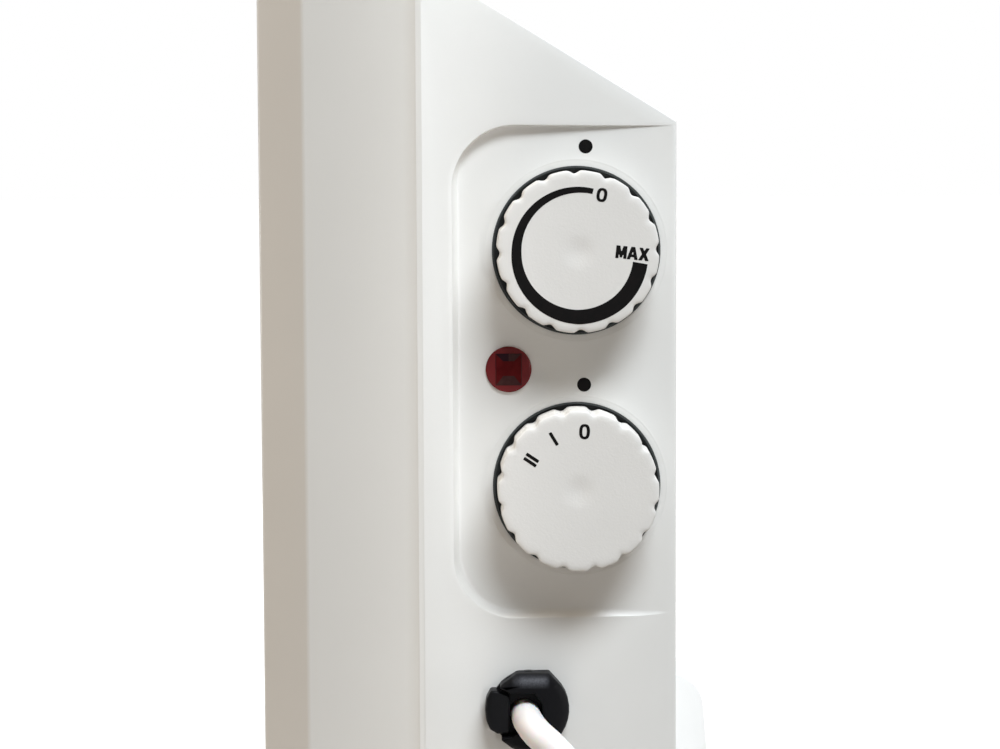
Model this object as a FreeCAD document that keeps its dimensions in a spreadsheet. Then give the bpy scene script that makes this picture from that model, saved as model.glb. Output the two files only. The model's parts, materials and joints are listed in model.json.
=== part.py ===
import FreeCAD, Part
import math
import os
import re

import Sketcher

# Electric convector heater, standing on two feet. Millimetres, +Z up, controls at +X, front at -Y.
# The origin is on the floor, under the middle of the heater.

Vector = FreeCAD.Vector

SIZES = {
    # Whole heater
    "heater_length": 600,
    "front_reach": 54,
    "rear_reach": 51,
    "base_height": 38,
    "rear_height": 340,
    "slope_rise": 40,
    # Sheet-steel casing
    "panel_sheet": 0.9,
    "panel_set": 1.0,
    "panel_overlap": 14,
    "facet": 12,
    "lip_width": 3.1,
    "lip_drop": 1.0,
    "seam_gap": 0.2,
    "hem_height": 14,
    # Air slots
    "slot_radius": 2.6,
    "front_slot_length": 42,
    "front_slot_rows": 5,
    "front_slot_row_pitch": 11.5,
    "front_slot_count": 9,
    "front_slot_side": 62.25,
    "front_slot_drop": 32,
    "top_slot_count": 41,
    "top_slot_side": 17.25,
    "top_slot_margin": 11,
    "rear_slot_length": 36,
    "rear_slot_count": 25,
    "rear_slot_side": 32,
    "rear_slot_rise": 24,
    "base_slot_count": 41,
    "base_slot_side": 21.25,
    "base_slot_margin": 24,
    # End caps
    "cap_width": 64.9,
    "cap_depth": 22,
    "cap_wall": 2.2,
    "cap_edge_round": 1.6,
    "tongue_length": 8,
    "tongue_thickness": 2.6,
    "tongue_inset": 24,
    # Control recess
    "recess_depth": 3.5,
    "recess_runout": 1.5,
    "recess_width": 55.5,
    "recess_height": 121.7,
    "recess_drop": 0.8,
    "recess_corner": 15,
    # Knobs and what they turn
    "knob_stand": 13,
    "knob_radius": 20.05,
    "knob_face_radius": 19.9,
    "knob_edge_round": 0.8,
    "knob_sink": 1.2,
    "knob_wall": 2.0,
    "knob_hub_radius": 6,
    "knob_hub_back": 2.5,
    "scallop_count": 16,
    "scallop_radius": 1.8,
    "scallop_depth": 1.15,
    "thermostat_valley": -1.7,
    "selector_valley": 11.25,
    "knob_inset": 25.2,
    "thermostat_drop": 32,
    "selector_drop": 91,
    "knob_hole_radius": 21,
    "collar_radius": 22.3,
    "collar_height": 1.0,
    "bezel_radius": 22.8,
    "bezel_thickness": 2.0,
    "spindle_radius": 3,
    "spindle_depth": 9,
    "spindle_end_gap": 0.3,
    "running_clearance": 0.05,
    "bush_radius": 5,
    "bush_length": 7,
    "nut_width": 13,
    "nut_thickness": 2.2,
    "thermostat_length": 24,
    "thermostat_side": 32,
    "selector_length": 28,
    "selector_side": 36,
    # Plate behind the controls
    "plate_thickness": 1.5,
    "plate_margin": 27,
    "plate_front_side": 24,
    "plate_rear_side": 20.5,
    "boss_radius": 3.6,
    "boss_side": 18,
    "boss_rise": 22,
    "control_screw_radius": 1.45,
    "control_screw_length": 5.2,
    "control_head_radius": 2.9,
    "control_head_height": 1.8,
    # Lamp
    "lamp_inset": 42.1,
    "lamp_drop": 61.9,
    "lens_radius": 5.6,
    "lens_flange": 1.2,
    "lens_barrel": 4.8,
    "lens_length": 9,
    "lens_bore": 3.5,
    "lens_face": 0.8,
    "lamp_radius": 3.2,
    "lamp_length": 14,
    # Cable bushing
    "gland_inset": 37.6,
    "gland_drop": 147,
    "gland_radius": 10.35,
    "gland_height": 8.5,
    "gland_bevel": 2.4,
    "gland_flat": 9.9,
    "gland_neck": 7.4,
    "gland_flange": 8.6,
    "gland_flange_length": 4,
    "gland_clearance": 0.15,
    "jaw_edge": 3.6,
    "jaw_half": 6,
    "jaw_height": 6.6,
    "jaw_bulge": 0.5,
    "jaw_floor": 1.2,
    # Heating elements and their carriers
    "element_drop": 36,
    "element_pitch": 62,
    "element_setback": 44,
    "element_core": 8,
    "element_fin_reach": 27,
    "element_fin": 2.2,
    "element_gap": 5,
    "rod_radius": 4.2,
    "rod_overrun": 14,
    "rod_clearance": 0.1,
    "ceramic_radius": 7.5,
    "ceramic_flange": 9.5,
    "ceramic_step": 2.5,
    "bracket_inset": 40,
    "bracket_sheet": 1.2,
    "bracket_drop": 124,
    "bracket_height": 132,
    "bracket_front": 18,
    "bracket_tab": 14,
    "shield_setback": 84,
    "shield_sheet": 0.6,
    "shield_margin": 8,
    "cutout_radius": 8,
    "cutout_height": 7,
    # Terminal block and wires
    "terminal_length": 18,
    "terminal_width": 40,
    "terminal_height": 16,
    "terminal_drop": 116,
    "wire_diameter": 2.4,
    # Feet
    "foot_span": 192,
    "foot_inset": 95.25,
    "foot_width": 30,
    "foot_wall": 3,
    "toe_height": 6,
    "toe_rise": 27,
    "fin_top": 186,
    "fin_shoulder": 14.9,
    "fin_round": 10,
    "fin_waist": 24,
    "fin_waist_level": 78,
    "fin_sweep": 60,
    "pad_radius": 9,
    "pad_thickness": 4,
    "pad_inset": 13,
    # Screws
    "screw_radius": 1.45,
    "screw_clearance": 0.15,
    "screw_length": 9,
    "screw_head_radius": 3,
    "screw_head_height": 1.8,
    "cap_screw_length": 7.4,
    "cap_head_height": 1.2,
    "cap_screw_sink": 1.3,
    "foot_screw_radius": 1.95,
    "foot_screw_length": 11,
    "foot_head_radius": 3.8,
    "foot_head_height": 2.6,
    "foot_screw_seat": 6,
    "foot_screw_front": 13,
    "foot_screw_rear": 17,
    # Lead and plug
    "cord_diameter": 7.5,
    "cord_grip": 0.25,
    "cord_offset": 1.2,
    "cord_tail": 2,
    "coil_gap": 0.7,
    "coil_inner_radius": 35,
    "coil_turns": 2,
    "coil_lift": 0.2,
    "tie_thickness": 1.0,
    "tie_width": 14,
    "tie_clearance": 1.1,
    "plug_radius": 19,
    "plug_height": 25,
    "plug_edge": 2.5,
    "plug_sleeve_length": 26,
    "plug_sleeve_end": 5.4,
    "plug_sleeve_root": 8.4,
    "pin_radius": 2.4,
    "pin_length": 19,
    "pin_spacing": 19,
    # Room that a cutting profile has past the face it cuts
    "cut_margin": 2,
}

# Places worked out from those sizes
RIGHT_FLOOR = "(heater_length / 2 - knob_stand)"
RIGHT_OUT = f"({RIGHT_FLOOR} + recess_depth)"
LEFT_OUT = "(heater_length / 2)"
FRONT = "(-front_reach)"
REAR = "rear_reach"
SEAM = "(rear_reach - cap_width)"
INNER_REAR = "(rear_reach - cap_wall)"
INNER_BASE = "(base_height + cap_wall)"
TOP = "(rear_height + slope_rise)"
SLOPE_LENGTH = "sqrt(cap_width * cap_width + slope_rise * slope_rise)"
WALL_DROP = f"(cap_wall * {SLOPE_LENGTH} / cap_width)"
SHEET_DROP = f"(panel_sheet * {SLOPE_LENGTH} / cap_width)"
SLOPE_REAR = f"(rear_height - {WALL_DROP} + cap_wall * slope_rise / cap_width)"
RIGHT_EDGE = f"({RIGHT_OUT} - panel_set)"
LEFT_EDGE = f"({LEFT_OUT} - panel_set)"
RIGHT_TUCK = f"({RIGHT_OUT} - cap_depth + panel_overlap)"
LEFT_TUCK = f"({LEFT_OUT} - cap_depth + panel_overlap)"
MIDDLE = f"(({RIGHT_OUT} - {LEFT_OUT}) / 2)"
BETWEEN_CAPS = f"({RIGHT_OUT} + {LEFT_OUT} - 2 * cap_depth)"
CAP_INSIDE = f"({RIGHT_FLOOR} - cap_wall)"
PLATE_FRONT = f"({CAP_INSIDE} - bezel_thickness)"
PLATE_BACK = f"({PLATE_FRONT} - plate_thickness)"
KNOB_Y = "(rear_reach - knob_inset)"
KNOB_Z = {
    "thermostat": "(rear_height - thermostat_drop)",
    "selector": "(rear_height - selector_drop)",
}
LAMP = ("(rear_reach - lamp_inset)", "(rear_height - lamp_drop)")
GLAND = ("(rear_reach - gland_inset)", "(rear_height - gland_drop)")
ELEMENT_Y = "(element_setback - front_reach)"
BACK_INSIDE = f"({INNER_REAR} - panel_sheet)"
BRACKET_TOP = "(rear_height - bracket_drop)"
BRACKET_BOTTOM = f"({BRACKET_TOP} - bracket_height)"
BRACKET_X = {
    "left": f"(bracket_inset - {LEFT_OUT})",
    "right": f"({RIGHT_OUT} - bracket_inset)",
}
FOOT_X = {
    "left": f"(foot_inset - {LEFT_OUT})",
    "right": f"({RIGHT_OUT} - foot_inset)",
}
FOOT_SPACING = f"({RIGHT_OUT} + {LEFT_OUT} - 2 * foot_inset)"

doc = FreeCAD.newDocument("convector_heater")
sheet = doc.addObject("Spreadsheet::Sheet", "sizes")
for row, (alias, value) in enumerate(SIZES.items(), 1):
    sheet.set(f"A{row}", alias)
    sheet.set(f"B{row}", str(value))
    sheet.setAlias(f"B{row}", alias)
doc.recompute()

sub_parts = []


# Sizes, sketches and features

def cells(expression):
    """The expression with each size replaced by its cell."""
    return re.sub(r"[a-z_]+", lambda m: f"sizes.{m[0]}" if m[0] in SIZES else m[0], str(expression))


def size(expression):
    """The value of an expression of sizes."""
    return float(sheet.evalExpression(cells(expression)))


def bind(thing, prop, expression):
    thing.setExpression(prop, cells(expression))


def keep(thing, label):
    """Makes a finished object one of the sub-parts."""
    thing.Label = label
    sub_parts.append(thing)
    return thing


def new_body(label):
    return keep(doc.addObject("PartDesign::Body", label), label)


def origin_feature(body, role):
    return next(f for f in body.Origin.OriginFeatures if f.Role == role)


def sketch(body, name, plane, level="0"):
    """A sketch on one of the body's own planes, moved along the plane's normal to a level."""
    made = body.newObject("Sketcher::SketchObject", name)
    made.AttachmentSupport = [(origin_feature(body, plane), "")]
    made.MapMode = "FlatFace"
    bind(made, "AttachmentOffset.Base.z", level)
    return made


def pin(made, edge, end, spot):
    """Ties one point of a sketch to a place given by two expressions."""
    for kind, expression in zip(("DistanceX", "DistanceY"), spot):
        place = made.addConstraint(Sketcher.Constraint(kind, -1, 1, edge, end, size(expression)))
        bind(made, f"Constraints[{place}]", expression)


def flat(spot):
    return Vector(size(spot[0]), size(spot[1]), 0)


def towards(start, goal):
    """Step of -1, 0 or 1 along each axis from one corner to the next on an upright or level side."""
    gap = flat(goal) - flat(start)
    return [0 if abs(g) < 1e-6 else int(math.copysign(1, g)) for g in (gap.x, gap.y)]


def outline(made, corners):
    """A closed outline. A third value on a corner rounds it, where its two sides are level and upright."""
    count = len(corners)
    stops = []
    for i, corner in enumerate(corners):
        if len(corner) == 2:
            stops.append((corner, corner, None))
            continue
        before = towards(corner, corners[i - 1])
        after = towards(corner, corners[(i + 1) % count])
        entry = tuple(f"{corner[k]} + {before[k]} * {corner[2]}" for k in range(2))
        leave = tuple(f"{corner[k]} + {after[k]} * {corner[2]}" for k in range(2))
        stops.append((entry, leave, corner[2]))
    lines = []
    for i in range(count):
        start, end = stops[i][1], stops[(i + 1) % count][0]
        lines.append(made.addGeometry(Part.LineSegment(flat(start), flat(end)), False))
    for i in range(count):
        entry, leave, radius = stops[i]
        last, line = lines[i - 1], lines[i]
        pin(made, line, 1, leave)
        if radius is None:
            made.addConstraint(Sketcher.Constraint("Coincident", last, 2, line, 1))
            continue
        pin(made, last, 2, entry)
        corner = flat(corners[i])
        centre = flat(entry) + flat(leave) - corner
        middle = centre + (corner - centre).normalize() * size(radius)
        arc = made.addGeometry(Part.Arc(flat(entry), middle, flat(leave)), False)
        first, second = (1, 2) if made.getPoint(arc, 1).distanceToPoint(flat(entry)) < 1e-6 else (2, 1)
        made.addConstraint(Sketcher.Constraint("Coincident", last, 2, arc, first))
        made.addConstraint(Sketcher.Constraint("Coincident", line, 1, arc, second))
        place = made.addConstraint(Sketcher.Constraint("Radius", arc, size(radius)))
        bind(made, f"Constraints[{place}]", radius)


def circle(made, centre, radius):
    ring = made.addGeometry(Part.Circle(flat(centre), Vector(0, 0, 1), size(radius)), False)
    pin(made, ring, 3, centre)
    place = made.addConstraint(Sketcher.Constraint("Radius", ring, size(radius)))
    bind(made, f"Constraints[{place}]", radius)


def round_slot(made, centre, length, radius, upright):
    """A slot with round ends, its length measured over the ends."""
    reach = f"({length} / 2 - {radius})"
    along = (0, 1) if upright else (1, 0)
    ends = [tuple(f"{centre[k]} + {sign * along[k]} * {reach}" for k in range(2)) for sign in (1, -1)]
    start = 0 if upright else -math.pi / 2
    arcs = []
    for k, end in enumerate(ends):
        turn = start + k * math.pi
        whole = Part.Circle(flat(end), Vector(0, 0, 1), size(radius))
        arcs.append(made.addGeometry(Part.ArcOfCircle(whole, turn, turn + math.pi), False))
    sides = []
    for k in range(2):
        leave, meet = made.getPoint(arcs[k], 2), made.getPoint(arcs[1 - k], 1)
        sides.append(made.addGeometry(Part.LineSegment(leave, meet), False))
    for k in range(2):
        made.addConstraint(Sketcher.Constraint("Tangent", arcs[k], 2, sides[k], 1))
        made.addConstraint(Sketcher.Constraint("Tangent", sides[k], 2, arcs[1 - k], 1))
        pin(made, arcs[k], 3, ends[k])
    place = made.addConstraint(Sketcher.Constraint("Radius", arcs[0], size(radius)))
    bind(made, f"Constraints[{place}]", radius)
    made.addConstraint(Sketcher.Constraint("Equal", arcs[0], arcs[1]))


def feature(body, kind, name, made, length, reverse=False):
    """A pad or a pocket of a sketch. A pocket cuts against the sketch's normal unless reversed."""
    added = body.newObject(f"PartDesign::{kind}", name)
    added.Profile = made
    added.Reversed = reverse
    bind(added, "Length", length)
    return added


def pad(body, name, made, length, reverse=False):
    return feature(body, "Pad", name, made, length, reverse)


def pocket(body, name, made, length, reverse=False):
    """A cut, which has to take something away."""
    doc.recompute()
    before = body.Shape.Volume
    added = feature(body, "Pocket", name, made, length, reverse)
    doc.recompute()
    if body.Shape.Volume > before - 1e-3:
        raise ValueError(f"{body.Label}: {name} cuts nothing")
    return added


def line_up(body, name, original, span, count):
    """Repeats a feature along X, evenly over a span."""
    added = body.newObject("PartDesign::LinearPattern", name)
    added.Originals = [original]
    added.Direction = (origin_feature(body, "X_Axis"), [""])
    bind(added, "Length", span)
    bind(added, "Occurrences", count)
    body.Tip = added
    return added


def soften(body, name, radius, chosen):
    """Rounds the edges of a body's last feature that a test picks."""
    doc.recompute()
    base = body.Tip
    edges = [f"Edge{i}" for i, edge in enumerate(base.Shape.Edges, 1) if chosen(edge)]
    if not edges:
        raise ValueError(f"{body.Label}: {name} finds no edge")
    added = body.newObject("PartDesign::Fillet", name)
    added.Base = (base, edges)
    bind(added, "Radius", radius)
    return added


# Primitives

WAYS = {
    "+X": Vector(1, 0, 0),
    "-X": Vector(-1, 0, 0),
    "+Y": Vector(0, 1, 0),
    "-Y": Vector(0, -1, 0),
    "+Z": Vector(0, 0, 1),
    "-Z": Vector(0, 0, -1),
}


def put(thing, spot):
    for axis, expression in zip("xyz", spot):
        bind(thing, f"Placement.Base.{axis}", expression)
    return thing


def cylinder(name, radius, height, spot, way):
    """A cylinder whose first end stands at a spot and which runs one way."""
    made = doc.addObject("Part::Cylinder", name)
    made.Placement.Rotation = FreeCAD.Rotation(Vector(0, 0, 1), WAYS[way])
    bind(made, "Radius", radius)
    bind(made, "Height", height)
    return put(made, spot)


def cone(name, start_radius, end_radius, height, spot, way):
    made = doc.addObject("Part::Cone", name)
    made.Placement.Rotation = FreeCAD.Rotation(Vector(0, 0, 1), WAYS[way])
    bind(made, "Radius1", start_radius)
    bind(made, "Radius2", end_radius)
    bind(made, "Height", height)
    return put(made, spot)


def box(name, sides, corner):
    """A box from its lowest corner."""
    made = doc.addObject("Part::Box", name)
    for prop, side in zip(("Length", "Width", "Height"), sides):
        bind(made, prop, side)
    return put(made, corner)


def fuse(name, *things):
    made = doc.addObject("Part::MultiFuse", name)
    made.Shapes = list(things)
    return made


def cut(name, base, *tools):
    made = doc.addObject("Part::Cut", name)
    made.Base = base
    made.Tool = tools[0] if len(tools) == 1 else fuse(f"{name}_tools", *tools)
    return made


def group(label, things):
    """Separate solids that share a node."""
    made = doc.addObject("Part::Compound", label)
    made.Links = list(things)
    return keep(made, label)


def moved(spot, way, distance):
    """A spot moved one way by an expression."""
    step = WAYS[way]
    return tuple(f"{at} + {int(sign)} * ({distance})" for at, sign in zip(spot, step))


def screw(name, seat, way, radius, length, head_radius, head_height):
    """A screw whose head bears on a seat and whose shank runs one way."""
    back = way.translate(str.maketrans("+-", "-+"))
    head = cylinder(f"{name}_head", head_radius, head_height, seat, back)
    start = moved(seat, back, head_height)
    shank = cylinder(f"{name}_shank", radius, f"{length} + {head_height}", start, way)
    return fuse(name, head, shank)


# Tubes of wire and cord

def rounded_route(points, name):
    """Straight runs joined by tangent arcs, each as large as its two runs allow."""
    edges = []
    start = points[0]
    radii = []
    for before, corner, after in zip(points, points[1:], points[2:]):
        entry, leave = corner - before, after - corner
        shorter = min(entry.Length, leave.Length)
        half_turn = entry.getAngle(leave) / 2
        reach = 0.45 * shorter
        radius = reach / math.tan(half_turn)
        radii.append(radius)
        entry.normalize()
        leave.normalize()
        first, last = corner - entry * reach, corner + leave * reach
        inward = (leave - entry).normalize()
        middle = corner + inward * (radius / math.cos(half_turn) - radius)
        edges.append(Part.LineSegment(start, first).toShape())
        edges.append(Part.Arc(first, middle, last).toShape())
        start = last
    edges.append(Part.LineSegment(start, points[-1]).toShape())
    print(f"{name}: arc radii {[round(r, 1) for r in radii]} mm")
    return Part.Wire(edges)


def tube(route, diameter, name):
    """A round tube along a route, with its volume compared with its section times its length."""
    start = route.OrderedVertexes[0].Point
    first = route.OrderedEdges[0]
    heading = first.tangentAt(first.FirstParameter)
    ring = Part.Wire(Part.Circle(start, heading, diameter / 2).toShape())
    solid = route.makePipeShell([ring], True, False)
    ideal = math.pi * diameter ** 2 / 4 * route.Length
    print(f"{name}: length {route.Length:.1f} mm, volume {solid.Volume / ideal:.4f} of section times length")
    return solid


def drawn(label, shape):
    """A sub-part with a shape of its own."""
    made = doc.addObject("Part::Feature", label)
    made.Shape = shape
    made.Placement = FreeCAD.Placement()
    return keep(made, label)


def biarc(start, heading, end, leaving):
    """Two arcs that meet smoothly, from one point and heading to another."""
    gap = end - start
    both = heading + leaving
    spread = 2 * (1 - heading.dot(leaving))
    lean = gap.dot(both)
    reach = (math.sqrt(lean ** 2 + spread * gap.dot(gap)) - lean) / spread
    meet = (start + heading * reach + end - leaving * reach) * 0.5
    return [arc_from(start, heading, meet), arc_from(end, leaving * -1, meet, backwards=True)]


def arc_from(start, heading, end, backwards=False):
    """An arc from a point and heading to an end."""
    chord = end - start
    angle = heading.getAngle(chord)
    side = heading - chord * (heading.dot(chord) / chord.dot(chord))
    middle = start + chord * 0.5 + side.normalize() * (chord.Length / 2 * math.tan(angle / 2))
    ends = (end, middle, start) if backwards else (start, middle, end)
    return Part.Arc(*ends).toShape()


# Casing

def front_panel():
    """Folded sheet: front, corner facets, side flanges and the small lips at the seams."""
    body = new_body("front_panel")
    fold = "(panel_sheet * 0.41421)"
    seam = f"({SEAM} - seam_gap)"
    bend = f"({seam} - lip_width)"

    def half(edge, sign):
        outer = [
            (f"{edge} - lip_drop", seam),
            (edge, bend),
            (edge, f"{FRONT} + facet"),
            (f"{edge} - facet", FRONT),
        ]
        inner = [
            (f"{edge} - facet - {fold}", f"{FRONT} + panel_sheet"),
            (f"{edge} - panel_sheet", f"{FRONT} + facet + {fold}"),
            (f"{edge} - panel_sheet", bend),
            (f"{edge} - lip_drop - panel_sheet", seam),
        ]
        return [[(f"{sign} * ({x})", y) for x, y in path] for path in (outer, inner)]

    right_outer, right_inner = half(RIGHT_EDGE, 1)
    left_outer, left_inner = half(LEFT_EDGE, -1)
    section = sketch(body, "front_section", "XY_Plane", "base_height")
    outline(section, right_outer + left_outer[::-1] + left_inner[::-1] + right_inner)
    pad(body, "front_sheet", section, f"{TOP} - panel_sheet - base_height")
    openings = sketch(body, "front_openings", "XZ_Plane", "front_reach + cut_margin")
    for row in range(int(SIZES["front_slot_rows"])):
        level = f"{TOP} - front_slot_drop - {row} * front_slot_row_pitch"
        spot = (f"front_slot_side - {LEFT_EDGE}", level)
        round_slot(openings, spot, "front_slot_length", "slot_radius", upright=False)
    first = pocket(body, "front_slots", openings, "2 * cut_margin + panel_sheet")
    span = f"{LEFT_EDGE} + {RIGHT_EDGE} - 2 * front_slot_side"
    line_up(body, "front_slot_row", first, span, "front_slot_count")


def top_grille():
    """Folded sheet: the level top over the front panel, and the slotted slope between the caps."""
    body = new_body("top_grille")
    level = sketch(body, "top_outline", "XY_Plane", f"{TOP} - panel_sheet")
    outline(level, [
        (RIGHT_EDGE, f"{SEAM} - seam_gap"),
        (RIGHT_EDGE, f"{FRONT} + facet"),
        (f"{RIGHT_EDGE} - facet", FRONT),
        (f"facet - {LEFT_EDGE}", FRONT),
        (f"-{LEFT_EDGE}", f"{FRONT} + facet"),
        (f"-{LEFT_EDGE}", f"{SEAM} - seam_gap"),
    ])
    pad(body, "top_sheet", level, "panel_sheet")
    under = f"({SLOPE_REAR} - {SHEET_DROP})"
    pitch = f"(slope_rise / cap_width)"
    step = f"({SEAM} - seam_gap - panel_sheet)"
    profile = sketch(body, "slope_profile", "YZ_Plane", f"-{LEFT_TUCK}")
    outline(profile, [
        (step, f"{TOP} - panel_sheet"),
        (f"{SEAM} - seam_gap", f"{TOP} - panel_sheet"),
        (f"{SEAM} - seam_gap", f"{TOP} - {WALL_DROP} + seam_gap * {pitch}"),
        (INNER_REAR, SLOPE_REAR),
        (INNER_REAR, under),
        (BACK_INSIDE, f"{under} + panel_sheet * {pitch}"),
        (BACK_INSIDE, f"{under} - hem_height"),
        (f"{BACK_INSIDE} - panel_sheet", f"{under} - hem_height"),
        (f"{BACK_INSIDE} - panel_sheet", f"{under} + 2 * panel_sheet * {pitch}"),
        (step, f"{under} + ({INNER_REAR} - {step}) * {pitch}"),
    ])
    pad(body, "slope_sheet", profile, f"{LEFT_TUCK} + {RIGHT_TUCK}")
    openings = sketch(body, "slope_openings", "XY_Plane", f"{TOP} + cut_margin")
    middle = f"({SEAM} + {INNER_REAR}) / 2"
    length = f"({INNER_REAR} - {SEAM} - 2 * top_slot_margin)"
    span = f"({BETWEEN_CAPS} - 2 * top_slot_side)"
    spot = (f"{MIDDLE} - {span} / 2", middle)
    round_slot(openings, spot, length, "slot_radius", upright=True)
    first = pocket(body, "slope_slots", openings, f"slope_rise + {WALL_DROP} + {SHEET_DROP} + cut_margin")
    line_up(body, "slope_slot_row", first, span, "top_slot_count")
    start = f"{BACK_INSIDE} - panel_sheet - cut_margin"
    rear_holes(body, "hem_holes", HEM_SCREWS, start, "panel_sheet + 2 * cut_margin",
               "screw_radius + running_clearance")


# Where screws hold the sheets together, as X and Z on the back panel
HEM_LEVEL = f"({SLOPE_REAR} - {SHEET_DROP} - hem_height / 2)"
HEM_SCREWS = [(f"{MIDDLE} + {share} * {FOOT_SPACING}", HEM_LEVEL) for share in (-0.5, 0, 0.5)]
BRACKET_SCREWS = [
    (f"{BRACKET_X[side]} + {sign} * (bracket_sheet + bracket_tab) / 2", level)
    for side, sign in (("left", 1), ("right", -1))
    for level in (f"{BRACKET_BOTTOM} + shield_margin", f"{BRACKET_TOP} - shield_margin")
]
CAP_SCREW_LEVELS = [f"{INNER_BASE} + {share} * ({SLOPE_REAR} - {INNER_BASE})" for share in (0.1, 0.5, 0.88)]
CAP_SCREWS = {
    side: [(f"{sign} * ({out} - cap_depth + panel_overlap / 2)", level) for level in CAP_SCREW_LEVELS]
    for side, sign, out in (("left", -1, LEFT_OUT), ("right", 1, RIGHT_OUT))
}
FOOT_SCREWS = [f"{FRONT} + foot_screw_front", f"{REAR} - foot_screw_rear"]


def rear_holes(body, name, spots, start, depth, radius):
    """Round holes cut towards the rear from a level, at places given as X and Z."""
    holes = sketch(body, f"{name}_places", "XZ_Plane", f"-({start})")
    for spot in spots:
        circle(holes, spot, radius)
    pocket(body, name, holes, depth)


def back_panel():
    """Flat sheet behind the heater, with air slots near its foot."""
    body = new_body("back_panel")
    face = sketch(body, "back_outline", "XZ_Plane", f"-{BACK_INSIDE}")
    outline(face, [
        (f"-{LEFT_TUCK}", INNER_BASE),
        (RIGHT_TUCK, INNER_BASE),
        (RIGHT_TUCK, f"{SLOPE_REAR} - {SHEET_DROP}"),
        (f"-{LEFT_TUCK}", f"{SLOPE_REAR} - {SHEET_DROP}"),
    ])
    pad(body, "back_sheet", face, "panel_sheet", reverse=True)
    start, depth = f"{BACK_INSIDE} - cut_margin", "panel_sheet + 2 * cut_margin"
    spots = HEM_SCREWS + BRACKET_SCREWS + CAP_SCREWS["left"] + CAP_SCREWS["right"]
    rear_holes(body, "back_screw_holes", spots, start, depth, "screw_radius + screw_clearance")
    openings = sketch(body, "back_openings", "XZ_Plane", f"-({start})")
    span = f"({FOOT_SPACING} - 2 * rear_slot_side)"
    spot = (f"{MIDDLE} - {span} / 2", "base_height + rear_slot_rise + rear_slot_length / 2")
    round_slot(openings, spot, "rear_slot_length", "slot_radius", upright=True)
    first = pocket(body, "back_slots", openings, depth)
    line_up(body, "back_slot_row", first, span, "rear_slot_count")


def bottom_grille():
    """Flat sheet that closes the casing below, with the cold-air slots."""
    body = new_body("bottom_grille")
    left = f"-({LEFT_OUT} - cap_depth - seam_gap)"
    right = f"{RIGHT_OUT} - cap_depth - seam_gap"
    front = f"({FRONT} + panel_sheet)"
    face = sketch(body, "base_outline", "XY_Plane", INNER_BASE)
    outline(face, [(left, front), (right, front), (right, BACK_INSIDE), (left, BACK_INSIDE)])
    pad(body, "base_sheet", face, "panel_sheet")
    above = f"{INNER_BASE} + panel_sheet + cut_margin"
    holes = sketch(body, "base_holes", "XY_Plane", above)
    for x in FOOT_X.values():
        for y in FOOT_SCREWS:
            circle(holes, (x, y), "foot_screw_radius + screw_clearance")
    pocket(body, "base_screw_holes", holes, "panel_sheet + 2 * cut_margin")
    openings = sketch(body, "base_openings", "XY_Plane", above)
    span = f"({BETWEEN_CAPS} - 2 * base_slot_side)"
    spot = (f"{MIDDLE} - {span} / 2", f"({front} + {BACK_INSIDE}) / 2")
    length = f"({BACK_INSIDE} - {front} - 2 * base_slot_margin)"
    round_slot(openings, spot, length, "slot_radius", upright=True)
    first = pocket(body, "base_slots", openings, "panel_sheet + 2 * cut_margin")
    line_up(body, "base_slot_row", first, span, "base_slot_count")


# End caps

FACE_FALL = "(recess_depth / (cap_width - recess_runout))"
GLAND_SEAT = f"({RIGHT_OUT} - ({GLAND[0]} - gland_radius - {SEAM}) * {FACE_FALL})"
BOSSES = [
    (f"{KNOB_Y} + {sign} * boss_side", level)
    for sign in (-1, 1)
    for level in (f"{KNOB_Z['thermostat']} + boss_rise", f"{KNOB_Z['selector']} - boss_rise")
]
CORD_EXIT = (f"({GLAND[0]} - cord_offset)", f"({GLAND[1]} - cord_offset)")


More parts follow.
